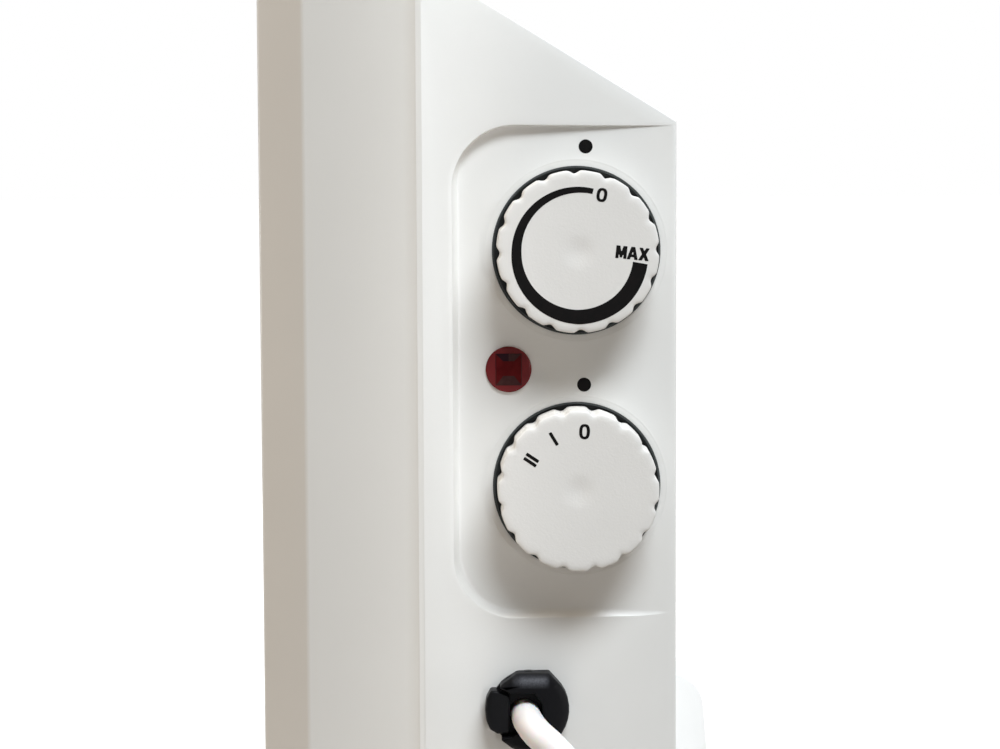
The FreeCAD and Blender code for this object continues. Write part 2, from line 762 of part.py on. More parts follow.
def cap_shell(side, sign, out):
    """A hollow cap whose outer face falls away towards the rear, with a tongue under the front panel."""
    body = new_body(f"{side}_end_cap")
    profile = sketch(body, f"{side}_cap_profile", "YZ_Plane", f"{sign} * ({out} - cap_depth)")
    outline(profile, [
        (SEAM, "base_height"),
        (REAR, "base_height"),
        (REAR, "rear_height"),
        (SEAM, TOP),
    ])
    pad(body, f"{side}_cap_block", profile, "cap_depth + cut_margin", reverse=sign < 0)
    taper = sketch(body, f"{side}_cap_taper", "XY_Plane", "base_height - cut_margin")
    far = f"{sign} * ({out} + 2 * cut_margin)"
    outline(taper, [
        (f"{sign} * ({out} + cut_margin * {FACE_FALL})", f"{SEAM} - cut_margin"),
        (far, f"{SEAM} - cut_margin"),
        (far, f"{REAR} + cut_margin"),
        (f"{sign} * ({out} - (cap_width + cut_margin) * {FACE_FALL})", f"{REAR} + cut_margin"),
    ])
    pocket(body, f"{side}_cap_face", taper, f"{TOP} - base_height + 2 * cut_margin", reverse=True)
    inside = size(f"{out} - cap_depth") + 1

    def rounded(edge):
        """The outer face's edges along the slope, the rear and the base."""
        ends = [v.Point for v in edge.Vertexes]
        at_face = all(abs(p.x) > inside for p in ends)
        at_seam = all(p.y < size(SEAM) + 1 for p in ends)
        return at_face and not at_seam

    soften(body, f"{side}_cap_edges", "cap_edge_round", rounded)
    hollow = sketch(body, f"{side}_cap_inside", "YZ_Plane", f"{sign} * ({out} - cap_depth - cut_margin)")
    lead = f"({SEAM} - cut_margin)"
    outline(hollow, [
        (lead, INNER_BASE),
        (INNER_REAR, INNER_BASE),
        (INNER_REAR, SLOPE_REAR),
        (lead, f"{SLOPE_REAR} + ({INNER_REAR} - {lead}) * slope_rise / cap_width"),
    ])
    depth = "cap_depth - recess_depth - cap_wall + cut_margin"
    pocket(body, f"{side}_cap_hollow", hollow, depth, reverse=sign > 0)
    wall_inside = f"{sign} * ({out} - recess_depth - cap_wall)"
    tongue = sketch(body, f"{side}_cap_tongue_face", "YZ_Plane", wall_inside)
    outline(tongue, [
        (f"{SEAM} - tongue_length", "base_height + tongue_inset"),
        (f"{SEAM} + cap_wall", "base_height + tongue_inset"),
        (f"{SEAM} + cap_wall", "rear_height - tongue_inset"),
        (f"{SEAM} - tongue_length", "rear_height - tongue_inset"),
    ])
    pad(body, f"{side}_cap_tongue", tongue, "tongue_thickness", reverse=sign < 0)
    start, depth = f"{INNER_REAR} - cut_margin", "cap_wall + 2 * cut_margin"
    rear_holes(body, f"{side}_cap_holes", CAP_SCREWS[side], start, depth, "screw_radius + screw_clearance")
    start, depth = f"{REAR} - cap_screw_sink", "cap_screw_sink + cut_margin"
    rear_holes(body, f"{side}_cap_wells", CAP_SCREWS[side], start, depth, "screw_head_radius + screw_clearance")
    return body


def left_end_cap():
    cap_shell("left", -1, LEFT_OUT)


def right_end_cap():
    """The cap with the control recess, which runs out at the rear edge."""
    body = cap_shell("right", 1, RIGHT_OUT)
    seat = sketch(body, "gland_seat", "YZ_Plane", CAP_INSIDE)
    circle(seat, GLAND, "gland_radius - gland_clearance")
    pad(body, "gland_pad", seat, f"{GLAND_SEAT} - {CAP_INSIDE}")
    top = "(rear_height - recess_drop)"
    left = "(rear_reach - recess_width)"
    well = sketch(body, "recess_outline", "YZ_Plane", RIGHT_FLOOR)
    outline(well, [
        (f"{REAR} + cut_margin", f"{top} - recess_height"),
        (f"{REAR} + cut_margin", top),
        (left, top, "recess_corner"),
        (left, f"{top} - recess_height", "recess_corner"),
    ])
    pocket(body, "recess", well, "recess_depth + cut_margin", reverse=True)
    rings = sketch(body, "collar_outline", "YZ_Plane", CAP_INSIDE)
    for level in KNOB_Z.values():
        circle(rings, (KNOB_Y, level), "collar_radius")
    pad(body, "collars", rings, "cap_wall + collar_height")
    holes = sketch(body, "control_holes", "YZ_Plane", f"{RIGHT_OUT} + cut_margin")
    for level in KNOB_Z.values():
        circle(holes, (KNOB_Y, level), "knob_hole_radius")
    circle(holes, LAMP, "lens_barrel + screw_clearance")
    circle(holes, GLAND, "gland_neck + gland_clearance")
    pocket(body, "control_openings", holes, "recess_depth + cap_wall + 2 * cut_margin")
    posts = sketch(body, "boss_outline", "YZ_Plane", CAP_INSIDE)
    for spot in BOSSES:
        circle(posts, spot, "boss_radius")
    pad(body, "bosses", posts, "bezel_thickness", reverse=True)
    pilots = sketch(body, "boss_holes", "YZ_Plane", f"{PLATE_FRONT} - cut_margin")
    for spot in BOSSES:
        circle(pilots, spot, "control_screw_radius + running_clearance")
    pocket(body, "boss_pilots", pilots, "control_screw_length - plate_thickness + cut_margin", reverse=True)


# Controls

def knob(name, phase):
    """A hollow turning knob with a scalloped rim and a hub for its spindle. Phase turns the first valley."""
    body = new_body(f"{name}_knob")
    section = sketch(body, f"{name}_knob_section", "XY_Plane")
    under = "(knob_stand - knob_wall)"
    bore = "(spindle_radius + running_clearance)"
    outline(section, [
        ("knob_stand", "0"),
        ("knob_stand", "knob_face_radius"),
        ("-knob_sink", "knob_radius"),
        ("-knob_sink", "knob_radius - knob_wall"),
        (under, "knob_face_radius - knob_wall"),
        (under, "knob_hub_radius"),
        ("knob_hub_back", "knob_hub_radius"),
        ("knob_hub_back", bore),
        (under, bore),
        (under, "0"),
    ])
    turned = body.newObject("PartDesign::Revolution", f"{name}_knob_turned")
    turned.Profile = section
    turned.ReferenceAxis = (section, ["H_Axis"])
    turned.Angle = 360
    face = size("knob_stand")
    rim = size("knob_face_radius")
    doc.recompute()
    soften(body, f"{name}_knob_edge", "knob_edge_round", lambda edge: (
        abs(edge.BoundBox.XMin - face) < 1e-3 and abs(edge.BoundBox.YMax - rim) < 1e-3
    ))
    reach = "(knob_radius - scallop_depth + scallop_radius)"
    valley = sketch(body, f"{name}_knob_valley", "YZ_Plane", "-knob_sink - cut_margin")
    circle(valley, (f"{reach} * {math.sin(phase):.6f}", f"{reach} * {math.cos(phase):.6f}"), "scallop_radius")
    first = pocket(body, f"{name}_knob_cut", valley, "knob_stand + knob_sink + 2 * cut_margin", reverse=True)
    rest = body.newObject("PartDesign::PolarPattern", f"{name}_knob_scallops")
    rest.Originals = [first]
    rest.Axis = (origin_feature(body, "X_Axis"), [""])
    rest.Angle = 360
    bind(rest, "Occurrences", "scallop_count")
    body.Tip = rest
    put(body, (RIGHT_FLOOR, KNOB_Y, KNOB_Z[name]))


def control(name, length, side):
    """The switch behind a knob, its spindle, the nut on its bush and the dark ring round the knob."""
    level = KNOB_Z[name]
    bush_hole = "bush_radius + screw_clearance"
    case = box(f"{name}_case", (length, side, side), (
        f"{PLATE_BACK} - {length}", f"{KNOB_Y} - {side} / 2", f"{level} - {side} / 2"))
    bush = cylinder(f"{name}_bush", "bush_radius", "bush_length", (PLATE_BACK, KNOB_Y, level), "+X")
    blind = (f"{PLATE_BACK} - spindle_depth", KNOB_Y, level)
    bore = cylinder(f"{name}_bore", "spindle_radius + running_clearance",
                    "spindle_depth + bush_length + cut_margin", blind, "+X")
    keep(cut(f"{name}_body", fuse(f"{name}_solid", case, bush), bore), f"{name}_body")
    foot = moved(blind, "+X", "spindle_end_gap")
    run = f"{RIGHT_FLOOR} + knob_stand - knob_wall - ({foot[0]})"
    keep(cylinder(f"{name}_spindle", "spindle_radius", run, foot, "+X"), f"{name}_spindle")
    ring = cylinder(f"{name}_ring", "bezel_radius", "bezel_thickness", (PLATE_FRONT, KNOB_Y, level), "+X")
    ring_hole = cylinder(f"{name}_ring_hole", bush_hole, "bezel_thickness + 2 * cut_margin",
                         (f"{PLATE_FRONT} - cut_margin", KNOB_Y, level), "+X")
    keep(cut(f"{name}_bezel", ring, ring_hole), f"{name}_bezel")
    hexagon = doc.addObject("Part::Prism", f"{name}_hexagon")
    hexagon.Polygon = 6
    hexagon.Placement.Rotation = FreeCAD.Rotation(Vector(0, 0, 1), WAYS["+X"])
    bind(hexagon, "Circumradius", "nut_width / sqrt(3)")
    bind(hexagon, "Height", "nut_thickness")
    put(hexagon, (CAP_INSIDE, KNOB_Y, level))
    nut_hole = cylinder(f"{name}_nut_hole", "bush_radius + running_clearance",
                        "nut_thickness + 2 * cut_margin", (f"{CAP_INSIDE} - cut_margin", KNOB_Y, level), "+X")
    keep(cut(f"{name}_nut", hexagon, nut_hole), f"{name}_nut")


def control_plate():
    """Sheet on the cap's bosses that carries the switches and the terminal block."""
    body = new_body("control_plate")
    left, right = f"{KNOB_Y} - plate_front_side", f"{KNOB_Y} + plate_rear_side"
    bottom = "rear_height - terminal_drop - terminal_height"
    top = f"{KNOB_Z['thermostat']} + plate_margin"
    face = sketch(body, "plate_outline", "YZ_Plane", PLATE_BACK)
    outline(face, [(left, bottom), (right, bottom), (right, top), (left, top)])
    pad(body, "plate_sheet", face, "plate_thickness")
    holes = sketch(body, "plate_hole_places", "YZ_Plane", f"{PLATE_FRONT} + cut_margin")
    for level in KNOB_Z.values():
        circle(holes, (KNOB_Y, level), "bush_radius + screw_clearance")
    circle(holes, LAMP, "lens_barrel + screw_clearance")
    for spot in BOSSES:
        circle(holes, spot, "control_screw_radius + screw_clearance")
    pocket(body, "plate_holes", holes, "plate_thickness + 2 * cut_margin")
    screws = [
        screw(f"control_screw_{i}", (PLATE_BACK, *spot), "+X", "control_screw_radius",
              "control_screw_length", "control_head_radius", "control_head_height")
        for i, spot in enumerate(BOSSES)
    ]
    group("control_screws", screws)


def lamp():
    """Red lens in the recess, and the small lamp behind it."""
    flange = cylinder("lens_flange_disc", "lens_radius", "lens_flange", (RIGHT_FLOOR, *LAMP), "+X")
    barrel = cylinder("lens_barrel_tube", "lens_barrel", "lens_length", (RIGHT_FLOOR, *LAMP), "-X")
    back = (f"{RIGHT_FLOOR} - lens_length - cut_margin", *LAMP)
    depth = "lens_length + cut_margin + lens_flange - lens_face"
    bore = cylinder("lens_bore_hole", "lens_bore", depth, back, "+X")
    keep(cut("neon_lens", fuse("lens_solid", flange, barrel), bore), "neon_lens")
    glass = (f"{RIGHT_FLOOR} - lens_face", *LAMP)
    keep(cylinder("neon_lamp", "lamp_radius", "lamp_length", glass, "-X"), "neon_lamp")


def strain_relief():
    """Black cable bushing in two pieces: a bevelled body, flat on top, and a jaw that grips the lead."""
    straight = "(gland_height - gland_bevel)"
    seat = (GLAND_SEAT, *GLAND)
    drum = cylinder("gland_drum", "gland_radius", straight, seat, "+X")
    crown = cone("gland_crown", "gland_radius", "gland_radius - gland_bevel", "gland_bevel",
                 moved(seat, "+X", straight), "+X")
    inside = (CAP_INSIDE, *GLAND)
    neck = cylinder("gland_neck_tube", "gland_neck", f"{GLAND_SEAT} - {CAP_INSIDE}", inside, "+X")
    flange = cylinder("gland_flange_disc", "gland_flange", "gland_flange_length", inside, "-X")
    solid = fuse("gland_solid", drum, crown, neck, flange)
    wide = "(2 * gland_radius + 2 * cut_margin)"
    flat_cut = box("gland_flat_cut", ("gland_height + cut_margin", wide, "gland_radius"), (
        GLAND_SEAT, f"{GLAND[0]} - {wide} / 2", f"{GLAND[1]} + gland_flat"))
    bore = cylinder("gland_bore", "cord_diameter / 2 + cord_grip", f"{wide} + gland_height",
                    (f"{CAP_INSIDE} - gland_flange_length - cut_margin", *CORD_EXIT), "+X")
    floor = f"({GLAND_SEAT} + jaw_floor)"
    slot = box("gland_jaw_slot", ("gland_height", "gland_radius", "2 * jaw_half"), (
        floor, f"{GLAND[0]} - jaw_edge - gland_radius", f"{GLAND[1]} - jaw_half"))
    keep(cut("strain_relief_body", solid, flat_cut, bore, slot), "strain_relief_body")
    block = box("jaw_block", ("jaw_height", "gland_radius", "2 * (jaw_half - gland_clearance)"), (
        floor, f"{GLAND[0]} - jaw_edge - gland_radius - gland_clearance",
        f"{GLAND[1]} - jaw_half + gland_clearance"))
    arch = cylinder("jaw_arch", "gland_radius + jaw_bulge", "gland_height", (GLAND_SEAT, *GLAND), "+X")
    rough = doc.addObject("Part::Common", "jaw_rough")
    rough.Base = block
    rough.Tool = arch
    jaw_bore = cylinder("jaw_bore", "cord_diameter / 2 + cord_grip", f"{wide} + gland_height",
                        (CAP_INSIDE, *CORD_EXIT), "+X")
    keep(cut("strain_relief_jaw", rough, jaw_bore), "strain_relief_jaw")


# Heating

UPPER_ELEMENT = f"({BRACKET_TOP} - element_drop)"
ELEMENTS = {"upper": UPPER_ELEMENT, "lower": f"({UPPER_ELEMENT} - element_pitch)"}
INWARD = {"left": 1, "right": -1}


def element(name, level):
    """A finned element on its sheathed rod, between the two brackets."""
    start = f"({BRACKET_X['left']} + bracket_sheet + element_gap)"
    length = f"({BRACKET_X['right']} - bracket_sheet - element_gap - {start})"
    core = cylinder(f"{name}_core", "element_core", length, (start, ELEMENT_Y, level), "+X")
    fins = []
    for i, angle in enumerate((45, 135)):
        fin = box(f"{name}_fin_{i}", (length, "2 * element_fin_reach", "element_fin"), (start, "0", "0"))
        fin.Placement.Rotation = FreeCAD.Rotation(WAYS["+X"], angle)
        lean_y, lean_z = math.cos(math.radians(angle)), math.sin(math.radians(angle))
        put(fin, (
            start,
            f"{ELEMENT_Y} - element_fin_reach * {lean_y:.6f} + element_fin / 2 * {lean_z:.6f}",
            f"{level} - element_fin_reach * {lean_z:.6f} - element_fin / 2 * {lean_y:.6f}",
        ))
        fins.append(fin)
    bore = cylinder(f"{name}_core_bore", "rod_radius + rod_clearance", f"{length} + 2 * cut_margin",
                    (f"{start} - cut_margin", ELEMENT_Y, level), "+X")
    label = f"{name}_element_fins"
    keep(cut(label, fuse(f"{name}_finned", core, *fins), bore), label)
    rod_start = f"({BRACKET_X['left']} - rod_overrun)"
    rod_length = f"({BRACKET_X['right']} + rod_overrun - {rod_start})"
    label = f"{name}_element_rod"
    keep(cylinder(label, "rod_radius", rod_length, (rod_start, ELEMENT_Y, level), "+X"), label)


def ceramic(side, name, level):
    """A bush in a bracket's hole, flanged on the inner side."""
    way, back = ("+X", "-X") if INWARD[side] > 0 else ("-X", "+X")
    label = f"{side}_{name}_bush"
    face = (f"{BRACKET_X[side]} + {INWARD[side]} * bracket_sheet", ELEMENT_Y, level)
    flange = cylinder(f"{label}_flange", "ceramic_flange", "ceramic_step", face, way)
    sleeve = cylinder(f"{label}_sleeve", "ceramic_radius", "bracket_sheet + ceramic_step", face, back)
    bore = cylinder(f"{label}_bore", "rod_radius + rod_clearance", "bracket_sheet + 3 * ceramic_step",
                    moved(face, back, "bracket_sheet + 1.5 * ceramic_step"), way)
    return cut(label, fuse(f"{label}_solid", flange, sleeve), bore)


def bracket(side):
    """Upright sheet with a tab on the back panel, and a hole for each element's bush."""
    body = new_body(f"{side}_element_bracket")
    sign = INWARD[side]
    at = BRACKET_X[side]
    face = sketch(body, f"{side}_bracket_face", "YZ_Plane", at)
    front = f"({FRONT} + bracket_front)"
    outline(face, [
        (front, BRACKET_BOTTOM),
        (BACK_INSIDE, BRACKET_BOTTOM),
        (BACK_INSIDE, BRACKET_TOP),
        (front, BRACKET_TOP),
    ])
    pad(body, f"{side}_bracket_sheet", face, "bracket_sheet", reverse=sign < 0)
    tab = sketch(body, f"{side}_bracket_tab_face", "XZ_Plane", f"-{BACK_INSIDE}")
    edge = f"{at} + {sign} * (bracket_sheet + bracket_tab)"
    low, high = BRACKET_BOTTOM, BRACKET_TOP
    outline(tab, [(at, low), (edge, low), (edge, high), (at, high)])
    pad(body, f"{side}_bracket_tab", tab, "bracket_sheet")
    holes = sketch(body, f"{side}_bracket_holes", "YZ_Plane", f"{at} - bracket_sheet - cut_margin")
    for level in ELEMENTS.values():
        circle(holes, (ELEMENT_Y, level), "ceramic_radius + rod_clearance")
    pocket(body, f"{side}_bush_holes", holes, "2 * (bracket_sheet + cut_margin)", reverse=True)
    spots = BRACKET_SCREWS[:2] if side == "left" else BRACKET_SCREWS[2:]
    start = f"{BACK_INSIDE} - bracket_sheet - cut_margin"
    rear_holes(body, f"{side}_tab_holes", spots, start, "bracket_sheet + 2 * cut_margin",
               "screw_radius + running_clearance")


def heating():
    for name, level in ELEMENTS.items():
        element(name, level)
    for side in INWARD:
        bracket(side)
    group("element_bushes", [ceramic(s, n, z) for s in INWARD for n, z in ELEMENTS.items()])
    left = f"({BRACKET_X['left']} + bracket_sheet)"
    right = f"({BRACKET_X['right']} - bracket_sheet)"
    keep(box("heat_shield", (
        f"{right} - {left}", "shield_sheet", f"{BRACKET_TOP} - {BRACKET_BOTTOM} - 2 * shield_margin"
    ), (left, f"{FRONT} + shield_setback", f"{BRACKET_BOTTOM} + shield_margin")), "heat_shield")
    spot = (BRACKET_X["right"], f"{ELEMENT_Y} + element_fin_reach", f"{BRACKET_TOP} - 2 * cutout_radius")
    keep(cylinder("thermal_cutout", "cutout_radius", "cutout_height", spot, "+X"), "thermal_cutout")


def terminal_block():
    keep(box("terminal_block", ("terminal_length", "terminal_width", "terminal_height"), (
        f"{PLATE_BACK} - terminal_length",
        f"{KNOB_Y} - plate_front_side",
        "rear_height - terminal_drop - terminal_height",
    )), "terminal_block")


# Screws and feet

def rear_screws():
    """Screws with their heads on the back panel, and sunk in the caps' rear walls."""
    panel_spots = HEM_SCREWS + BRACKET_SCREWS
    group("panel_screws", [
        screw(f"panel_screw_{i}", (x, INNER_REAR, z), "-Y", "screw_radius", "screw_length",
              "screw_head_radius", "screw_head_height")
        for i, (x, z) in enumerate(panel_spots)
    ])
    cap_spots = CAP_SCREWS["left"] + CAP_SCREWS["right"]
    group("cap_screws", [
        screw(f"cap_screw_{i}", (x, f"{REAR} - cap_screw_sink", z), "-Y", "screw_radius", "cap_screw_length",
              "screw_head_radius", "cap_head_height")
        for i, (x, z) in enumerate(cap_spots)
    ])


def foot(side):
    """A moulded foot: a toe in front, a flat under the casing and a fin that rises behind the back panel."""
    body = new_body(f"{side}_foot")
    at = FOOT_X[side]
    sole = "pad_thickness"
    toe = "foot_span / 2"
    inner = f"({FRONT} + panel_sheet + 2 * seam_gap)"
    shoulder = f"({INNER_REAR} + fin_shoulder)"
    waist = f"({INNER_REAR} + fin_waist)"
    low = f"({sole} + toe_height)"
    profile = sketch(body, f"{side}_foot_profile", "YZ_Plane", f"{at} - foot_width / 2")
    outline(profile, [
        (f"-{toe}", sole),
        (toe, sole),
        (toe, low),
        (waist, "fin_waist_level"),
        (shoulder, "fin_top"),
        (INNER_REAR, "fin_top"),
        (INNER_REAR, INNER_BASE),
        (inner, INNER_BASE),
        (inner, "base_height - 2 * seam_gap"),
        (FRONT, f"{sole} + toe_rise"),
        (f"-{toe}", low),
    ])
    pad(body, f"{side}_foot_block", profile, "foot_width")
    for name, radius, y, z in (
        ("shoulder", "fin_round", shoulder, "fin_top"),
        ("sweep", "fin_sweep", waist, "fin_waist_level"),
    ):
        corner = Vector(0, size(y), size(z))

        def crosswise(edge):
            """The edge across the foot at this corner of its profile."""
            return all(math.hypot(v.Y - corner.y, v.Z - corner.z) < 1e-3 for v in edge.Vertexes)

        soften(body, f"{side}_foot_{name}", radius, crosswise)
    lean = f"(({waist} - {shoulder}) / (fin_top - fin_waist_level))"
    top, bottom = "(fin_top - fin_round - foot_wall)", f"({INNER_BASE} + foot_wall)"
    front = f"{INNER_REAR} + foot_wall"
    behind = f"{waist} - 1.5 * foot_wall"
    inward = -1 if side == "right" else 1
    open_side = f"{at} + {inward} * (foot_width / 2 + cut_margin)"
    hollow = sketch(body, f"{side}_foot_hollow", "YZ_Plane", open_side)
    outline(hollow, [
        (front, bottom),
        (behind, bottom),
        (behind, "fin_waist_level"),
        (f"{behind} - ({top} - fin_waist_level) * {lean}", top),
        (front, top),
    ])
    pocket(body, f"{side}_foot_core", hollow, "foot_width - foot_wall + cut_margin", reverse=inward < 0)
    wells = sketch(body, f"{side}_foot_wells", "XY_Plane", f"{sole} - cut_margin")
    for y in FOOT_SCREWS:
        circle(wells, (at, y), "foot_head_radius + screw_clearance")
    depth = f"{INNER_BASE} - foot_screw_seat - {sole} + cut_margin"
    pocket(body, f"{side}_foot_bores", wells, depth, reverse=True)
    holes = sketch(body, f"{side}_foot_holes", "XY_Plane", f"{sole} - cut_margin")
    for y in FOOT_SCREWS:
        circle(holes, (at, y), "foot_screw_radius + screw_clearance")
    pocket(body, f"{side}_foot_screw_holes", holes, f"{INNER_BASE} + cut_margin", reverse=True)


def feet():
    for side in FOOT_X:
        foot(side)
    pads = []
    screws = []
    for side, x in FOOT_X.items():
        for i, sign in enumerate((-1, 1)):
            spot = (x, f"{sign} * (foot_span / 2 - pad_inset)", "0")
            pads.append(cylinder(f"{side}_pad_{i}", "pad_radius", "pad_thickness", spot, "+Z"))
        for i, y in enumerate(FOOT_SCREWS):
            seat = (x, y, f"{INNER_BASE} - foot_screw_seat")
            screws.append(screw(f"{side}_foot_screw_{i}", seat, "+Z", "foot_screw_radius",
                                "foot_screw_length", "foot_head_radius", "foot_head_height"))
    group("foot_pads", pads)
    group("foot_screws", screws)


# Wires and lead

def wiring():
    """Insulated inner wires from the lead to the block, the switches and the elements."""
    diameter = size("wire_diameter")
    lead_x = size(CORD_START)
    lead_y, lead_z = (size(at) for at in CORD_EXIT)
    block_x = size(f"{PLATE_BACK} - terminal_length")
    block_y = size(f"{KNOB_Y} - plate_front_side")
    block_z = size("rear_height - terminal_drop - terminal_height")
    knob_y = size(KNOB_Y)
    dial_x = size(f"{PLATE_BACK} - thermostat_length")
    dial_z = size(KNOB_Z["thermostat"])
    switch_x = size(f"{PLATE_BACK} - selector_length")
    switch_z = size(KNOB_Z["selector"])
    switch_low = size(f"{KNOB_Z['selector']} - selector_side / 2")
    rod_x = size(f"{BRACKET_X['right']} + rod_overrun") - diameter
    rod_y = size(ELEMENT_Y)
    rod_top = {name: size(f"{level} + rod_radius") for name, level in ELEMENTS.items()}
    routes = {}
    for i in (-1, 0, 1):
        side = lead_y + i * 1.05 * diameter
        target = block_y + (i + 2) * size("terminal_width") / 4
        routes[f"supply_{i + 2}"] = [
            (lead_x, side, lead_z),
            (lead_x - 6, side, lead_z),
            (block_x + 6, (side + target) / 2, block_z - 12),
            (block_x + 5, target, block_z - 6),
            (block_x + 5, target, block_z),
        ]
    routes["live"] = [
        (block_x, block_y + 6, block_z + 10),
        (block_x - 8, block_y + 6, block_z + 10),
        (switch_x - 7, block_y + 3, block_z + 20),
        (switch_x - 9, block_y + 2, switch_z + 4),
        (switch_x - 7, knob_y - 14, dial_z - 18),
        (dial_x - 8, knob_y - 8, dial_z),
        (dial_x, knob_y - 8, dial_z),
    ]
    routes["switched"] = [
        (dial_x, knob_y + 8, dial_z - 4),
        (dial_x - 8, knob_y + 8, dial_z - 4),
        (switch_x - 9, knob_y + 9, dial_z - 20),
        (switch_x - 7, knob_y + 6, switch_z + 6),
        (switch_x, knob_y + 6, switch_z + 6),
    ]
    routes["upper_feed"] = [
        (switch_x + 5, knob_y - 13, switch_low),
        (switch_x + 5, knob_y - 13, switch_low - 9),
        (switch_x + 6, rod_y + 8, rod_top["upper"] + 22),
        (rod_x, rod_y, rod_top["upper"] + 9),
        (rod_x, rod_y, rod_top["upper"]),
    ]
    routes["lower_feed"] = [
        (switch_x + 5, knob_y - 17, switch_low),
        (switch_x + 5, knob_y - 17, switch_low - 9),
        (switch_x + 5, rod_y - 8, rod_top["upper"] + 24),
        (switch_x + 5, rod_y - 15, rod_top["upper"]),
        (switch_x + 6, rod_y - 14, rod_top["lower"] + 30),
        (rod_x, rod_y, rod_top["lower"] + 9),
        (rod_x, rod_y, rod_top["lower"]),
    ]
    wires = []
    for name, spots in routes.items():
        route = rounded_route([Vector(*spot) for spot in spots], f"wire {name}")
        wires.append(tube(route, diameter, f"wire {name}"))
    drawn("wiring", Part.makeCompound(wires))


CORD_START = f"({CAP_INSIDE} - gland_flange_length - cord_tail)"

# The lead's way from its bushing to the floor, after its straight exit
DROP_POINTS = [
    (311.2, 21.3, 185.8),
    (316.7, 32, 171),
    (320.2, 37.5, 147),
    (321.8, 39.5, 112),
    (322.8, 40, 78),
    (323.4, 41, 48),
    (323.8, 49, 20),
]
EXIT_BEND = 303
DROP_LANDING = 26
COIL_CENTRE = Vector(376, 101, 0)


def coil_point(turned, outer, inner, pitch, low):
    """Point and heading of the coil after a clockwise turn: in along the floor, up a layer, out on top."""
    down = (outer - inner) / pitch * 2 * math.pi
    up = down + math.pi
    rate = pitch / (2 * math.pi)
    if turned <= down:
        radius, widening, level, rising = outer - rate * turned, -rate, low, 0
    elif turned < up:
        climb = turned - down
        radius = inner - pitch / 4 * math.sin(climb)
        widening = -pitch / 4 * math.cos(climb)
        level, rising = low + pitch * (1 - math.cos(climb)) / 2, pitch / 2 * math.sin(climb)
    else:
        radius, widening, level, rising = inner + rate * (turned - up), rate, low + pitch, 0
    if turned in (0, down, up, up + down):
        widening = 0
    angle = math.pi - turned
    outward = Vector(math.cos(angle), math.sin(angle), 0)
    round_way = Vector(math.sin(angle), -math.cos(angle), 0)
    heading = outward * widening + round_way * radius + Vector(0, 0, rising)
    return COIL_CENTRE + outward * radius + Vector(0, 0, level), heading.normalize()


def least_gap(edges, diameter):
    """The least gap between turns of a tube, measured between points a few diameters apart along it."""
    points = [p for edge in edges for p in edge.discretize(13)[:-1]]
    step = edges[len(edges) // 2].Length / 12
    skip = int(4 * diameter / step)
    gaps = [
        a.distanceToPoint(b)
        for i, a in enumerate(points)
        for b in points[i + skip:]
    ]
    return min(gaps) - diameter


def cord():
    """The lead: out of its bushing, down to the floor, round its coil and into the plug."""
    thick = size("cord_diameter")
    pitch = thick + size("coil_gap")
    inner = size("coil_inner_radius")
    turns = int(size("coil_turns"))
    outer = inner + turns * pitch
    low = size("tie_thickness + coil_lift") + thick / 2
    exit_y, exit_z = size(CORD_EXIT[0]), size(CORD_EXIT[1])
    whole = (2 * turns + 0.5) * 2 * math.pi
    count = 8 * turns + 2
    stops = [coil_point(whole * i / count, outer, inner, pitch, low) for i in range(count + 1)]
    begin = stops[0][0] - stops[0][1] * thick
    end = stops[-1][0] + stops[-1][1] * 2 * thick
    turn_point = Vector(begin.x, begin.y - DROP_LANDING, begin.z)
    start = [Vector(size(CORD_START), exit_y, exit_z), Vector(EXIT_BEND, exit_y, exit_z)]
    drop = start + [Vector(*spot) for spot in DROP_POINTS] + [turn_point, begin]
    drawn("cord_drop", tube(rounded_route(drop, "cord drop"), thick, "cord drop"))
    edges = [Part.LineSegment(begin, stops[0][0]).toShape()]
    for (near, heading), (far, leaving) in zip(stops, stops[1:]):
        edges += biarc(near, heading, far, leaving)
    edges.append(Part.LineSegment(stops[-1][0], end).toShape())
    print(f"cord coil: least gap between turns {least_gap(edges, thick):.2f} mm")
    drawn("cord_coil", tube(Part.Wire(edges), thick, "cord coil"))
    tie(inner, pitch, thick, low)
    plug(end)


def tie(inner, pitch, thick, low):
    """A flat strap round the turns, on the coil's front side."""
    gap = size("tie_clearance")
    strap = size("tie_thickness")
    wide = size("tie_width")
    near, far = inner + pitch / 4 - thick / 2 - gap, inner + 1.25 * pitch + thick / 2 + gap
    top = low + pitch + thick / 2 + size("coil_lift")

    def ring(grow, bottom, ceiling):
        corner = COIL_CENTRE + Vector(-wide / 2, -far - grow, bottom)
        return Part.makeBox(wide, far - near + 2 * grow, ceiling - bottom, corner)

    drawn("cord_tie", ring(strap, 0, top + strap).cut(ring(0, strap, top)))


def plug(entry):
    """A side-entry plug lying on its back, with its two pins up."""
    x, y, z = entry
    sleeve = cone("plug_sleeve", "plug_sleeve_end", "plug_sleeve_root", "plug_sleeve_length + plug_edge",
                  (x, y, z), "-Y")
    middle = f"{y} - plug_sleeve_length - plug_radius"
    straight = "(plug_height - plug_edge)"
    disc = cylinder("plug_disc", "plug_radius", straight, (x, middle, 0), "+Z")
    brim = cone("plug_brim", "plug_radius", "plug_radius - plug_edge", "plug_edge",
                (x, middle, straight), "+Z")
    keep(fuse("plug_body", sleeve, disc, brim), "plug_body")
    group("plug_pins", [
        cylinder(f"plug_pin_{i}", "pin_radius", "pin_length", (f"{x} + {sign} * pin_spacing / 2", middle,
                                                               "plug_height"), "+Z")
        for i, sign in enumerate((-1, 1))
    ])


def controls():
    control("thermostat", "thermostat_length", "thermostat_side")
    control("selector", "selector_length", "selector_side")
    knob("thermostat", math.radians(size("thermostat_valley")))
    knob("selector", math.radians(size("selector_valley")))


